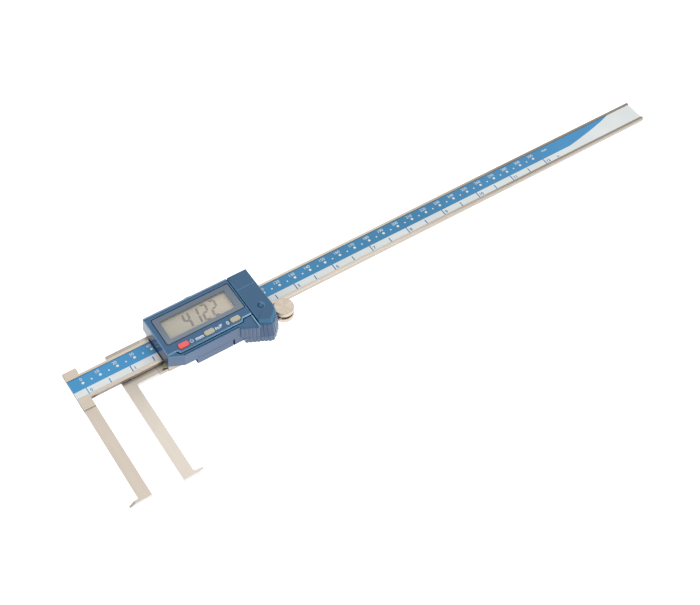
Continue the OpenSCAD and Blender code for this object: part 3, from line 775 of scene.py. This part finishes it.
marks = []
for i in range(0, 61):
    r = 0.76 if i % 2 == 0 else 0.47
    marks.append(flat(arc(5 * i, 0, r, 0, 352, 22 if i % 2 == 0 else 16), 0.008, 0.010))
for i in range(0, 31):
    marks.append(text(str(10 * i), 10 * i - (0.0 if i == 0 else 0.55), 2.62, 0.008, 0.010, 1.9, offset=0.0))
marks.append(text("mm", 310.0, 2.2, 0.008, 0.010, 1.8, offset=0.012))
piece("strip_marks", join(*marks), "beam", "dot_ink", angle=30)

# painted shadow: thin dark lines along both edges of the printed strip, where it sits between the rails
piece("strip_edge_painted_shadows", join(flat([(SX0, SY0 - 0.04), (SX1, SY0 - 0.04), (SX1, SY0 + 0.17), (SX0, SY0 + 0.17)], 0.0, 0.006),
                          flat([(SX0, SY1 - 0.08), (SX1, SY1 - 0.08), (SX1, SY1 + 0.04), (SX0, SY1 + 0.04)], 0.008, 0.006)), "beam", "joint")

marks = []
for i in range(0, 25):
    x = 12.7 * i
    y1 = BY - 0.02 if i % 2 == 0 else -4.47
    marks.append(flat([(x - 0.28, -7.66), (x + 0.28, -7.66), (x + 0.28, y1), (x - 0.28, y1)], 0.0, 0.012))
for i in range(0, 13):
    marks.append(text(str(i), 25.4 * i + (1.95 if i < 10 else 2.5), -5.85, 0.0, 0.012, 2.05, offset=0.02))
marks.append(text("in", 314.4, -6.2, 0.0, 0.012, 1.65, offset=0.012))
piece("strip_inch_marks", join(*marks), "beam", "tick_ink", angle=30)

# ================================================================== slider, metal parts
# the frame's upright faces take the darker side copy of the steel, painted shade
refine("slider_frame", "frame_body", "frame", 0.14, 2, side="beam_side")
# the moving arm: steel with painted shade at the root, its upright faces a greyer copy with painted reflection
refine("moving_jaw", "moving_arm", "arm2", 0.14, 3, side="arm_side")
refine("jaw_screws", "arm_screws", "screw", 0.08, 2)
refine("gib_strip", "gib_bar", "brass", 0.08, 2)
refine("gib_screws", "gib_set_screws", "screw", 0.05, 2)
refine("housing_screws", "shell_screws", "screw", 0.06, 2)
refine("board_screws", "board_fixings", "screw", 0.04, 2)
refine("roller_spring", "spring_strip", "spring", 0.08, 2)
refine("port_contacts", "port_block", "block", 0.05, 1)
refine("circuit_board", "board_plate", "board", 0.06, 2)
piece("board_tab", prism([(39.3, -12.3), (41.3, -10.9), (42.2, -10.9), (42.2, -13.8), (41.2, -13.8)], -1.6, -1.0), "slider", "tab")
piece("board_riser", prism([(41.92, -13.8), (42.2, -13.8), (42.2, -11.2), (41.92, -11.2)], -1.01, 0.4), "slider", "tab")
piece("jaw_seam", flat([(36.94, -14.3), (37.06, -14.3), (37.06, -10.0), (36.94, -10.0)], -2.9, 0.006), "slider", "joint")
refine("lcd_connector", "elastomer_bar", "block", 0.1, 2)
refine("button_pad", "dome_pad", "rubber", 0.12, 2)
refine("coin_cell", "cell_can", "cell", 0.25, 3)
refine("battery_contacts", "cell_springs", "gold", 0.04, 1)
YB, YT, TY0, TY1 = -9.65, 6.45, -7.75, 4.65
wipe = [box((41.40, YB + 0.1, 0.36), (41.785, YT - 0.1, 0.62), 0.05), box((41.40, TY0 + 0.15, 0.05), (41.785, TY1 - 0.15, 0.46), 0.05),
        box((105.5, YB + 0.1, 0.36), (106.3, YT - 0.1, 0.78), 0.08), box((105.5, TY0 + 0.15, 0.05), (106.3, TY1 - 0.15, 0.4), 0.08)]
piece("wipers", join(*wipe), "slider", "rubber", replaces=["wiper_seals"])

# ================================================================== display
LCD_Z = 8.15
piece("lcd_plate", box((46.5, -8.3, 6.95), (91.5, 7.3, LCD_Z), 0.12), "slider", "lcd", replaces=["lcd_panel"])


def seg_poly(kind, xc):
    """One bar of a numeral, leaning."""
    w, h0, h1, hm = 1.5, -4.55, 5.45, 0.45
    t = 0.66

    def pt(x, y):
        return (xc + x + 0.13 * (y - hm), y)
    g = 0.10
    if kind == "a":
        return [pt(-w + g, h1 + t * .2), pt(-w + g + .35, h1 + t), pt(w - g - .35, h1 + t), pt(w - g, h1 + t * .2), pt(w - t - g, h1 - t), pt(-w + t + g, h1 - t)]
    if kind == "d":
        return [pt(-w + g, h0 - t * .2), pt(-w + t + g, h0 + t), pt(w - t - g, h0 + t), pt(w - g, h0 - t * .2), pt(w - g - .35, h0 - t), pt(-w + g + .35, h0 - t)]
    if kind == "g":
        return [pt(-w + g + .1, hm), pt(-w + t + g, hm + t), pt(w - t - g, hm + t), pt(w - g - .1, hm), pt(w - t - g, hm - t), pt(-w + t + g, hm - t)]
    if kind in "bc":
        s = 1
    else:
        s = -1
    y0, y1 = (hm, h1) if kind in "bf" else (h0, hm)
    return [pt(s * w, y0 + g), pt(s * w + t, y0 + t + g * .6), pt(s * w + t, y1 - t - g * .6), pt(s * w, y1 - g),
            pt(s * w - t, y1 - t - g), pt(s * w - t, y0 + t + g)]


DIG = {"4": "fgbc", "1": "bc", "2": "abged"}
segs = []
for k, ch in enumerate("4122"):
    xc = 62.85 + 5.4 * k
    segs += [flat(seg_poly(kind, xc), LCD_Z, 0.012) for kind in DIG[ch]]
segs.append(flat(rrect(70.62, -4.95, 71.28, -4.35, 0.12, 3), LCD_Z, 0.012))
piece("numerals", join(*segs), "slider", "segment", angle=30)
bow = arc(51.9, -6.6, 2.5, 52, 128, 14) + arc(51.9, -6.6, 2.1, 128, 52, 14)
piece("idle_segments", flat(bow, LCD_Z, 0.012), "slider", "ghost", angle=30)
# walls round the display, in the painted tan-brown of the shade in the recess
bez = carve(prism([(48.65, -7.15), (89.25, -7.15), (89.25, 6.95), (48.65, 6.95)], LCD_Z, 9.04),
            [("-", prism(rrect(49.0, -6.75, 88.8, 6.6, 0.2, 3), 7.9, 9.5))])
piece("display_bezel_painted_shade", bez, "slider", "bezel", clean=True)

# clear window, and the printed border on its face
WX0, WY0, WX1, WY1 = 45.85, -9.0, 92.5, 9.55
piece("window_plate", prism(rrect(WX0, WY0, WX1, WY1, 0.9, 8), 9.06, 9.90, 0.05, 0.02, 2), "slider", "clear",
      replaces=["lcd_window"])
ring = carve(prism(rrect(WX0, WY0, WX1, WY1, 0.9, 8), 9.87, 9.985, 0.0, 0.07, 3),
             [("-", prism(rrect(49.22, -6.3, 88.55, 6.5, 0.25, 4), 9.5, 10.5))])
piece("window_frame_print", ring, "slider", "border", clean=True)
# painted shade: a black ring over the window's edge for the shaded gap between window and seat
rim = carve(prism(rrect(WX0 - 0.02, WY0 - 0.02, WX1 + 0.02, WY1 + 0.02, 0.92, 8), 9.06, 9.998),
            [("-", prism(rrect(WX0 + 0.13, WY0 + 0.13, WX1 - 0.13, WY1 - 0.13, 0.8, 8), 8.5, 10.5))])
piece("window_gap_painted_shade", rim, "slider", "rim", clean=True)

# ================================================================== housing
H0, SH, TOP, DECK = 0.8, 9.6, 10.1, 8.9
DR = tan(radians(4.9))


def lx(z):
    return 41.8 + (z - H0) * DR


XR = 93.52
front = [(83.6, -19.2), (93.4, -24.04), (XR, 12.95)]
a_low = [(lx(H0), 12.95), (lx(H0), -15.2), (42.1 + 0.15, -15.5), (50.15, -19.15)] + front
a_high = [(lx(SH), 12.95), (lx(SH), -15.2), (lx(SH) + 0.25, -15.5), (50.15, -19.15)] + front
RA = [0.35, 0.35, 0.4, 0.8, 0.5, 0.5, 0.35]
body_a = plate(soften(a_low, RA, 4), soften(a_high, RA, 4), H0, SH, 0.22, 0.3, 4)

# raised deck of the display: upright to 9.66, then a sloping rim, wide along the front and narrow elsewhere
deck_low = [(0, 12.95), (0, -15.0), (48.2, -14.8), (49.3, -16.75), (86.95, -16.6), (88.05, -14.85), (XR, -14.8), (XR, 12.95)]
deck_top = [(0.32, 12.86), (0.32, -14.15), (48.75, -13.95), (49.9, -15.85), (86.35, -15.7), (87.45, -13.95), (XR - 0.12, -13.9), (XR - 0.12, 12.86)]
RB = [0.25, 0.3, 0.5, 0.6, 0.5, 0.5, 0.2, 0.2]


def deck_at(o, z):
    return soften([((lx(z) + x + 0.006 if x < 1 else x - 0.006 if x > 93 else x), y - 0.006 if y > 12 else y) for x, y in o], RB, 4)


body_b = join(plate(deck_at(deck_low, 5.0), deck_at(deck_low, 9.66), 5.0, 9.66))
body_b2 = plate(deck_at(deck_low, 9.64), deck_at(deck_top, TOP), 9.64, TOP, 0.0, 0.12, 3)

trench = [(47.6, -12.5), (47.6, -15.15), (48.85, -17.3), (87.3, -17.15), (88.5, -15.4), (94.2, -15.35), (94.2, -12.5)]

c_low = [(92.0, 12.95), (92.0, -21.5), (93.3, -22.9), (100.0, -26.5), (101.2, -25.9), (105.2, -21.9), (106.5, -18.2), (106.85, -12.0), (106.6, 12.95)]
c_high = [(92.0, 12.95), (92.0, -20.6), (93.3, -21.5), (100.0, -25.2), (101.0, -24.5), (104.5, -21.4), (106.1, -18.9), (106.7, -15.3), (106.3, 12.95)]
RC = [0.1, 0.1, 0.1, 0.8, 0.8, 1.2, 1.2, 2, 0.25]
body_c = plate(soften(c_low, RC, 4), soften(c_high, RC, 4), H0, DECK, 0.1, 0.08, 3)


def rib(p0, p1, z0, z1, r=0.75, n=20, dome=0.32, low=0.0):
    """A grip rib: a column from p0 at z0 to p1 at z1, with a rounded head (and foot if low is above 0)."""
    lv = []
    if low > 0:
        lv += [(z0 + low * (1 - cos(radians(a))), 1 - (1 - sin(radians(a))) * low / r) for a in (0, 30, 60)]
        lv.append((z0 + low, 1.0))
    else:
        lv.append((z0, 1.0))
    lv += [(z1 - dome + dome * sin(radians(a)), 1 - (1 - cos(radians(a))) * dome / r) for a in (0, 22, 45, 67, 90)]
    rings = []
    for z, k in lv:
        t = (z - z0) / (z1 - z0)
        x, y = p0[0] + (p1[0] - p0[0]) * t, p0[1] + (p1[1] - p0[1]) * t
        rings.append([(x + r * k * cos(2 * pi * i / n), y + r * k * sin(2 * pi * i / n), z) for i in range(n)])
    return loft(rings)


def along(a, b, first, count, pitch=2.1):
    d = Vector(b) - Vector(a)
    u = d.normalized()
    return [tuple(Vector(a) + u * (first + i * pitch)) for i in range(count)]


RR = 1.4
row1 = along((83.87, -18.79), (93.17, -23.39), 1.25, 5, 2.07)
row2 = [(94.43 + 1.82 * t, -23.9 - 0.98 * t) for t in range(3)] + [(99.5, -26.1)]
row3 = [(101.1 + 1.49 * t, -24.95 + 1.49 * t) for t in range(3)]
ribs = [rib(p, p, H0, SH - 0.12, RR) for p in row1]
ribs += [rib(p, (p[0] + 0.15, p[1] + 2.2), H0, DECK - 0.1, RR) for p in row2]
ribs += [rib(p, (p[0] - 0.15, p[1] + 1.35), H0, DECK - 0.1, RR) for p in row3]

BTN = [(52.95, 6.2, 3.4), (68.4, 6.0, 3.3), (84.2, 5.8, 3.3)]
BTN_Y = -13.2
CELL = (99.7, -16.6)
steps = [
    ("-", cutter(trench, 8.8, SH, 0.26, 3)),
    ("+", body_b),
    ("+", body_b2),
    ("+", moved(box((-0.3, -4.1, 9.2), (0.32, 3.55, 9.98), 0.2), Matrix.Translation((92.95, -19.75, 0)) @ Matrix.Rotation(radians(-0.4), 4, "Z"))),
    ("+", body_c),
] + [("+", g) for g in ribs] + [
    ("-", prism([(92.0, -22.9), (92.48, -23.15), (92.48, -15.6), (92.0, -15.6)], 9.0, 10)),
    # room inside the display part
    ("-", prism([(43.9, 11.4), (92.2, 11.4), (92.2, -10), (43.9, -10)], -0.2, 8.2)),
    ("-", prism([(43.9, -9.9), (92.2, -9.9), (92.2, -14.45), (43.9, -14.45)], -0.2, 8.7)),
    ("-", prism([(44.3, -14.3), (92.2, -14.3), (92.2, -17.9), (50.5, -17.9)], 1.9, 8.7)),
    ("-", box((94.2, -9.9, -0.2), (105.4, 11.4, 6.9))),
    # window seat and opening
    ("-", cutter(rrect(45.5, -9.35, 92.82, 9.9, 1.15, 8), 9.05, TOP, 0.07, 3)),
    ("-", box((48.6, -7.2, 7), (89.3, 7.0, 12))),
    ("-", box((79.3, -20, 0), (80.25, -18.5, 1.7))),
    ("-", box((57.5, -19.6, 1.66), (79.8, -19.04, 1.86))),
    # fine lines
    ("-", cutter([(50.1, -18.5), (83.6, -18.5), (83.6, -18.12), (50.1, -18.12)], SH - 0.6, SH, 0.16, 2)),
    ("-", cutter([(40, 11.35), (93.9, 11.35), (93.9, 11.69), (40, 11.69)], TOP - 0.6, TOP, 0.16, 2)),
    # pocket for the cell, slots for its contacts, ways for the cover
    ("-", cutter(arc(CELL[0], CELL[1], 6, 0, 354, 59), 1.7, DECK, 0.15, 3)),
    ("-", box((92, -17.3, 1.7), (95, -15.9, 2.2))),
    ("-", box((93.5, -18.3, 2.3), (95, -14.9, 7.2))),
    ("-", box((92, -16, 6.7), (94, -14.9, 7.1))),
]
for y in (-6, 6):
    steps.append(("-", box((94.4, y - 1.4, DECK - 0.6), (110, y + 1.4, 20))))
    steps.append(("-", box((94.4, y - 2.1, DECK - 1.3), (110, y + 2.1, DECK - 0.55))))
for x, w, d in BTN:
    steps.append(("-", cutter(rrect(x - w / 2 - 0.2, BTN_Y - d / 2 - 0.2, x + w / 2 + 0.2, BTN_Y + d / 2 + 0.2, 1.3, 8), 8, TOP, 0.1, 3)))
# room for the board under the end walls
steps.append(("-", box((40, -14.2, 0), (44.5, 10.3, 1.08))))
steps.append(("-", box((92, -11.35, 0), (105.15, 10.3, 1.08))))
steps.append(("+", plate([(lx(0.42), -9.7), (41.89, -9.7), (41.89, 6.5), (lx(0.42), 6.5)], [(lx(1.4), -9.7), (41.89, -9.7), (41.89, 6.5), (lx(1.4), 6.5)], 0.42, 1.4)))
for x, y, r, z in ((46.6, -12.2, 1.7, 9), (46.6, 9.1, 1.7, 9), (99.5, 9.1, 1.7, 7.2), (82.8, -16.6, 1.4, 9)):
    steps.append(("+", prism(arc(x, y, r, 0, 350, 35), 1.08 if r > 1.5 else H0, z)))
    steps.append(("-", prism(arc(x, y, 0.83, 0, 345, 23), 0, 5)))
shell = piece("housing_shell", carve(body_a, steps), "slider", "house", replaces=["upper_housing"], clean=True, angle=36)


def face_mat(o, mat, test):
    """A second material, a painted highlight or painted shade, on the faces that the test picks, from their centre in
    millimetres and their normal.
    """
    o.data.materials.append(MATS[mat])
    k = len(o.data.materials) - 1
    for f in o.data.polygons:
        if test(f.center * 1000 + ORG, f.normal):
            f.material_index = k


def rim_face(c, n):
    """Rounded corners and sloping rims of the raised parts, which get a painted highlight brighter than the grained
    faces.
    """
    if not (0.2 < n.z < 0.975 and c.z > 8.85) or (c.x > 83.4 and c.y < -17.2 and c.x < 92) or c.x > 93.4:
        return False
    if 45.4 < c.x < 92.85 and -9.45 < c.y < 9.95:
        return False
    return not any(abs(c.x - b[0]) < b[1] / 2 + 0.5 and abs(c.y - BTN_Y) < b[2] / 2 + 0.4 for b in BTN)


# upright faces towards the front, which take the painted reflection and shade of the wall copy
def wall_face(c, n):
    return n.y < -0.2 and abs(n.z) < 0.35


# painted light on the step at the fixed jaw's root
face_mat(beam, "joint_face", lambda c, n: n.y < -0.9 and c.y < -14)
# painted shade on the fixed arm's left faces
face_mat(fixed_arm, "arm_edge", lambda c, n: n.x < -0.9)
face_mat(shell, "wall", wall_face)
# painted highlight on the rounded rims
face_mat(shell, "edge", rim_face)
# painted highlight on the ridge beside the battery cover
face_mat(shell, "ridge", lambda c, n: 92.5 < c.x < 93.4 and -24 < c.y < -15.5 and n.z > 0.2 and c.z > 9.3)
# painted highlight on the sloping front rim of the deck
face_mat(shell, "slope", lambda c, n: rim_face(c, n) and 0.80 < n.z < 0.95 and abs(n.x) < 0.2 and c.y < -13 and c.x < 86.5)
# painted shade on the floors of the front and rear grooves
face_mat(shell, "groove", lambda c, n: n.z > 0.9 and 47.5 < c.x < 94.3 and ((c.y < -14.5 and 8.7 < c.z < 8.95) or (-18.6 < c.y < -18.0 and 8.9 < c.z < 9.2)))
face_mat(shell, "groove", lambda c, n: n.z > 0.9 and 11.2 < c.y < 11.7 and 9.4 < c.z < 9.6)
# painted highlight on the rear rim
face_mat(shell, "rear_rim", lambda c, n: n.z > 0.5 and c.y > 11.75 and c.z > 8.8 and c.x < 93.5)
# painted highlight along the housing's left top edge
face_mat(shell, "lead", lambda c, n: -0.97 < n.x < -0.15 and c.x < 43.6 and c.z > 8.9)
# the left end face takes the darker end copy, painted shade
face_mat(shell, "end", lambda c, n: n.x < -0.97 and c.x < 42.8)

# symbols beside the buttons
sym = [text("mm", 62.45, -13.2, TOP, 0.012, 2.3, offset=0.03), text("in/F", 74.1, -12.95, TOP, 0.012, 2.1, shear=0.25, offset=0.03),
       text("0", 79.5, -13.2, TOP, 0.012, 2.3, offset=0.02)]
ringp = arc(57.75, -13.25, 1.02, 128, 412, 24) + arc(57.75, -13.25, 0.70, 412, 128, 24)
sym.append(flat(ringp, TOP, 0.012))
sym.append(flat([(57.59, -12.9), (57.91, -12.9), (57.91, -11.85), (57.59, -11.85)], TOP, 0.012))
piece("button_symbols", join(*sym), "slider", "symbols", angle=30)

# ================================================================== battery cover
k_low = [(93.96, 12.95), (93.96, -21.85), (100.0, -25.2), (101.0, -24.5), (104.5, -21.4), (106.1, -18.9), (106.7, -15.3), (106.35, 12.95)]
k_high = [(94.3, 12.95), (94.3, -19.7), (100.15, -22.6), (100.9, -22.2), (104.7, -19.1), (105.5, -18.0), (106.25, -14.6), (106.1, 12.95)]
RK = [0.15, 0.1, 0.5, 0.5, 0.8, 0.8, 1.5, 0.3]
cover = plate(soften(k_low, RK, 5), soften(k_high, RK, 5), DECK + 0.05, TOP, 0.05, 0.28, 4)
ksteps = [("+", join(box((94.6, y - 1.3, DECK - 0.6), (106.2, y + 1.3, DECK + 0.2)), box((94.6, y - 2, DECK - 1.2), (106.2, y + 2, DECK - 0.55))))
          for y in (-6, 6)]
dim = lathe([(0.6, TOP - 0.34), (1.20, TOP - 0.40), (1.38, TOP - 0.62), (1.58, TOP - 0.62), (1.70, TOP - 0.42), (1.95, TOP - 0.07), (2.12, TOP), (2.12, TOP + 1)], 48)
ksteps.append(("-", at(dim, 100.5, -12.4)))
ksteps.append(("+", moved(plate(*(2 * [ccw([(94.5, 2.3), (105.9, 2.3), (105.9, 2.95), (94.5, 2.95)])]), TOP - 0.3, TOP + 0.16, 0, 0.15, 3), Matrix.Identity(4))))
lidtop = piece("cell_cover", carve(cover, ksteps), "battery_cover", "cover", replaces=["battery_cover"], clean=True, angle=36)
# painted highlight on the cover's sloping front and right rims
face_mat(lidtop, "slope", lambda c, n: 0.3 < n.z < 0.96 and c.z > 9.0 and (n.y < -0.2 or n.x > 0.2) and Vector((c.x - 100.5, c.y + 12.4)).length > 3)
# painted highlight on the cover's left rim, its raised line and the dimple's left rim
face_mat(lidtop, "edge", lambda c, n: 0.2 < n.z < 0.975 and c.z > 9.6 and (c.x < 94.75 or (2.2 < c.y < 3.0) or (Vector((c.x - 100.5, c.y + 12.4)).length < 2.3 and n.x < -0.1)))
# painted shade in the dimple's ring
face_mat(lidtop, "dimple", lambda c, n: 1.3 < Vector((c.x - 100.5, c.y + 12.4)).length < 1.75 and 9.4 < c.z < 9.72)
# painted highlight on the dimple's far right side
face_mat(lidtop, "lead", lambda c, n: 0.95 < Vector((c.x - 100.5, c.y + 12.4)).length < 2.0 and 9.4 < c.z < 10.05 and c.x > 101.0 and c.y > -12.6)

# ================================================================== lower shell and port cover
sole = ccw([(85.6, -14.45), (93.05, -14.45), (93.05, -11.35), (106.3, -11.35), (106.5, -19), (105.4, -21.5), (100.6, -26.2), (98.5, -27), (85.6, -20)])
low = prism(soften(sole, [0 if q == (93.05, -14.45) else 0.3 for q in sole], 3), -4, 0.72, 0.2, 0.14, 3)
feet = row1[1:] + row2 + row3
lsteps = [("+", box((58.7, -17.5, -3.1), (80, -14.49, 0.69), 0.1)), ("+", box((79.45, -18.9, -3.97), (86, -14.47, 0.705), 0.16)),
          *[("+", rib(p, p, -3.985, 0.70, RR, dome=0.16, low=0.3)) for p in feet],
          ("-", box((79.3, -20, -3.55), (80.25, -17.4, 2))),
          ("-", box((64, -18, -2.6), (76, -14.9, 0.2))),
          ("-", prism(arc(82.8, -16.6, 0.9, 0, 348, 29), -5, 2)),
          ("-", prism(arc(82.8, -16.6, 1.5, 0, 350, 35), -5, -3)),
          ("-", box((95.6, -19.02, -2.02), (108, -18.4, -0.38)))]
foot = piece("foot_shell", carve(low, lsteps), "slider", "house", replaces=["lower_shell"], clean=True, angle=36)

pc = carve(box((57.4, -18.9, -4), (79.2, -17.6, 0.72), 0.2), [("+", box((57.4, -17.9, -4), (58.6, -14.6, 0.72), 0.12)),
                                                             ("+", box((57.5, -17.9, -3.98), (79.1, -15, -3.2), 0.12))])
lid = piece("port_lid", pc, "port_cover", "house", replaces=["port_cover"], clean=True, angle=36)
# the same painted reflection and shade on the front walls of the foot and the lid
face_mat(foot, "wall", wall_face)
face_mat(lid, "wall", wall_face)
face_mat(lid, "shade", lambda c, n: n.x < -0.9 and c.x < 57.6 and c.y > -18.75)


# ================================================================== buttons
def button(name, node, b, mat):
    x, w, d = b
    h0, h1 = 8.1, TOP + 0.7
    prof = [(h0, 0.0), (h1 - 0.62, 0.0)]
    for k in range(1, 8):
        a = radians(90 * k / 7)
        prof.append((h1 - 0.62 + 0.5 * sin(a), 0.5 * (1 - cos(a))))
    for k, q in ((1, 0.9), (2, 1.25)):
        prof.append((h1 - 0.12 + 0.06 * k, 0.5 + 0.32 * k))
    o = rrect(x - w / 2, BTN_Y - d / 2, x + w / 2, BTN_Y + d / 2, 1.18, 10)
    rings = [[(p, q, z) for p, q in (inset(o, s) if s else o)] for z, s in prof]
    cap = loft(rings)
    g = carve(cap, [("+", box((x - w / 2 - 0.8, BTN_Y - d / 2 + 0.01, 8.1), (x + w / 2 + 0.8, BTN_Y + d / 2 - 0.01, 8.65), 0.1)),
                    ("+", box((x - 1.5, BTN_Y - 1.1, 5.3), (x + 1.5, BTN_Y + 1.1, 8.2), 0.2))])
    return piece(name, g, node, mat, replaces=[node], clean=True, angle=40)


button("power_cap", "power_button", BTN[0], "red")
button("mode_cap", "mode_button", BTN[1], "beige")
button("zero_cap", "zero_button", BTN[2], "beige")

# ================================================================== thumb roller and lock screw
RX, RY = 113.3, -15.18
R, NR = 5.62, 3.2


def knurl_ring(r, z0, z1, teeth, per=6, depth=0.11, edge=0.34, steps=4):
    """Profile and wobble of a flange with straight knurling and rounded rims."""
    prof, soft = [], []
    prof.append((r - edge - 0.35, z0)); soft.append(0)
    for k in range(steps + 1):
        a = radians(90 * k / steps)
        prof.append((r - edge + edge * sin(a), z0 + edge * (1 - cos(a)))); soft.append(min(1, k / steps) ** 2)
    for k in range(steps + 1):
        a = radians(90 * k / steps)
        prof.append((r - edge + edge * cos(a), z1 - edge * (1 - sin(a)))); soft.append(min(1, 1 - k / steps) ** 2)
    prof.append((r - edge - 0.35, z1)); soft.append(0)
    return prof, soft


def knurled(r, z0, z1, teeth, per=6, depth=0.12, edge=0.34):
    prof, soft = knurl_ring(r, z0, z1, teeth, per, depth, edge)
    n = teeth * per

    def wob(k, i, q):
        ph = (i % per) / per
        cut = depth * (0.5 + 0.5 * cos(2 * pi * ph)) ** 1.5
        return q - cut * soft[k]
    return prof, n, wob


prof, n, wob = knurled(R, -0.2, 2.6, 60)
top_flange = lathe(prof, n, wob)
prof2, n2, wob2 = knurled(R, -5.1, -2.2, 60)
low_flange = lathe(prof2, n2, wob2)
spool = lathe([(NR, -2.6), (NR, 0.2)], 64)
rims = piece("roller_rims", at(join(top_flange, low_flange, spool), RX, RY, 0), "thumb_roller", "knurl",
      replaces=["thumb_roller"], origin=(RX, RY, 0), angle=32)
# painted shade: the neck between the flanges is near-black for the shade in the gap between them
rims.data.materials.append(MATS["dark"])
for f in rims.data.polygons:
    if Vector((f.center.x, f.center.y)).length < 0.0034 and -0.0026 < f.center.z < 0.0026 and abs(f.normal.z) < 0.5:
        f.material_index = 1
disc = lathe([(R - 0.62, 2.45), (R - 0.60, 2.585), (R - 0.72, 2.615), (3.0, 2.61), (0.9, 2.60), (0.45, 2.56), (0.12, 2.52)], 96)
piece("roller_face", at(disc, RX, RY, 0), "thumb_roller", "nickel", origin=(RX, RY, 0), angle=32)
disc2 = lathe([(0.12, -5.09), (0.9, -5.105), (R - 0.72, -5.115), (R - 0.6, -5.09), (R - 0.62, -4.95)], 96)
piece("roller_back", at(disc2, RX, RY, 0), "thumb_roller", "nickel", origin=(RX, RY, 0), angle=32)

LX, LZ = 71.8, -1.1
turn = Matrix.Translation((LX, 0, LZ)) @ Matrix.Rotation(radians(-90), 4, "X")
hp, hn, hw = knurled(4.0, 13.0, 18.4, 40, 6, 0.13, 0.4)
head = lathe(hp, hn, hw)
shank = lathe([(0.8, 7.55), (1.0, 7.55), (1.25, 7.85), (1.25, 10.7), (1.7, 10.7), (1.7, 13.2)], 48)
piece("lock_knob", moved(join(head, shank), turn), "lock_screw", "knurl", replaces=["lock_screw"],
      origin=(LX, 15, LZ), angle=32)

# ================================================================== stage
floor_me = bpy.data.meshes.new("floor")
bm = bmesh.new()
bmesh.ops.create_circle(bm, cap_ends=True, cap_tris=False, segments=96, radius=6.0)
bmesh.ops.translate(bm, verts=bm.verts, vec=(0, 0, -0.0001))
bm.to_mesh(floor_me)
bm.free()
floor = bpy.data.objects.new("floor", floor_me)
bpy.context.scene.collection.objects.link(floor)
fm = Mat("floor_paper", rough=0.7, spec=0.2)
fn = fm.noise(fm.coords((1, 1, 1)), 3.0, 2.0, 0.5)
fm.color(fm.ramp(fn, [(0.3, (0.34, 0.34, 0.34)), (0.7, (0.36, 0.36, 0.36))]))
fm.b.inputs["Emission Color"].default_value = (1, 1, 1, 1)
fm.b.inputs["Emission Strength"].default_value = 1.22
floor_me.materials.append(fm.m)

# a studio that is brightest above and to the right, and falls off towards the left
world = bpy.data.worlds.new("studio")
bpy.context.scene.world = world
world.use_nodes = True
wt = world.node_tree
bg = wt.nodes["Background"]
wc = wt.nodes.new("ShaderNodeTexCoord")
wd = wt.nodes.new("ShaderNodeVectorMath")
wd.operation = "DOT_PRODUCT"
wd.inputs[1].default_value = (0.44, 0.24, 0.865)
wr = wt.nodes.new("ShaderNodeValToRGB")
we = wr.color_ramp.elements
for k, (q, c) in enumerate([(0.0, (0.28, 0.29, 0.31)), (0.35, (0.50, 0.51, 0.54)), (0.7, (0.80, 0.81, 0.84)), (1.0, (0.99, 0.99, 1.0))]):
    if k >= len(we):
        we.new(q)
    we[k].position = q
    we[k].color = (*c, 1)
wm = wt.nodes.new("ShaderNodeMapRange")
wm.inputs["From Min"].default_value = -0.35
wm.inputs["From Max"].default_value = 0.95
wt.links.new(wc.outputs["Generated"], wd.inputs[0])
wt.links.new(wd.outputs["Value"], wm.inputs["Value"])
wt.links.new(wm.outputs[0], wr.inputs[0])
wt.links.new(wr.outputs[0], bg.inputs[0])
bg.inputs[1].default_value = 1.0


def softbox(name, way, dist, wide, high, radiance, col=(1, 1, 1)):
    """A rectangular soft light seen from the object in the direction way."""
    l = bpy.data.lights.new(name, "AREA")
    l.shape = "RECTANGLE"
    l.size, l.size_y = wide, high
    l.energy = radiance * pi * wide * high
    l.color = col
    o = bpy.data.objects.new(name, l)
    bpy.context.scene.collection.objects.link(o)
    o.location = Vector(way).normalized() * dist
    o.rotation_euler = (-o.location).to_track_quat("-Z", "Y").to_euler()
    return o


softbox("front_right", (0.25, -0.82, 0.515), 1.4, 0.60, 0.26, 1.5, (0.93, 0.97, 1.0))
softbox("front_high", (0.26, -0.37, 0.89), 1.4, 0.46, 0.26, 4.5, (0.80, 0.92, 1.0))
softbox("left_rear", (-0.82, 0.515, 0.24), 1.4, 0.50, 0.30, 1.5, (0.96, 0.97, 1.0))
softbox("overhead", (0.25, 0.50, 0.83), 1.5, 1.10, 0.90, 0.16, (1.0, 0.97, 0.93))

cam = bpy.data.cameras.new("camera")
cam.sensor_width = 36
cam.sensor_fit = "HORIZONTAL"
cam.lens = 63.492
cam.clip_start, cam.clip_end = 0.01, 50
co = bpy.data.objects.new("camera", cam)
bpy.context.scene.collection.objects.link(co)
rv = Vector((2.4284295963184843, -0.7191082146216721, 0.28438232598695834))
rm = Matrix.Rotation(rv.length, 3, rv.normalized())
rot = rm.transposed() @ Matrix(((1, 0, 0), (0, -1, 0), (0, 0, -1)))
co.matrix_world = Matrix.Translation((-0.276584, -0.324101, 0.552337)) @ rot.to_4x4()
bpy.context.scene.camera = co
bpy.context.scene.view_settings.view_transform = "Standard"
bpy.context.scene.view_settings.look = "None"
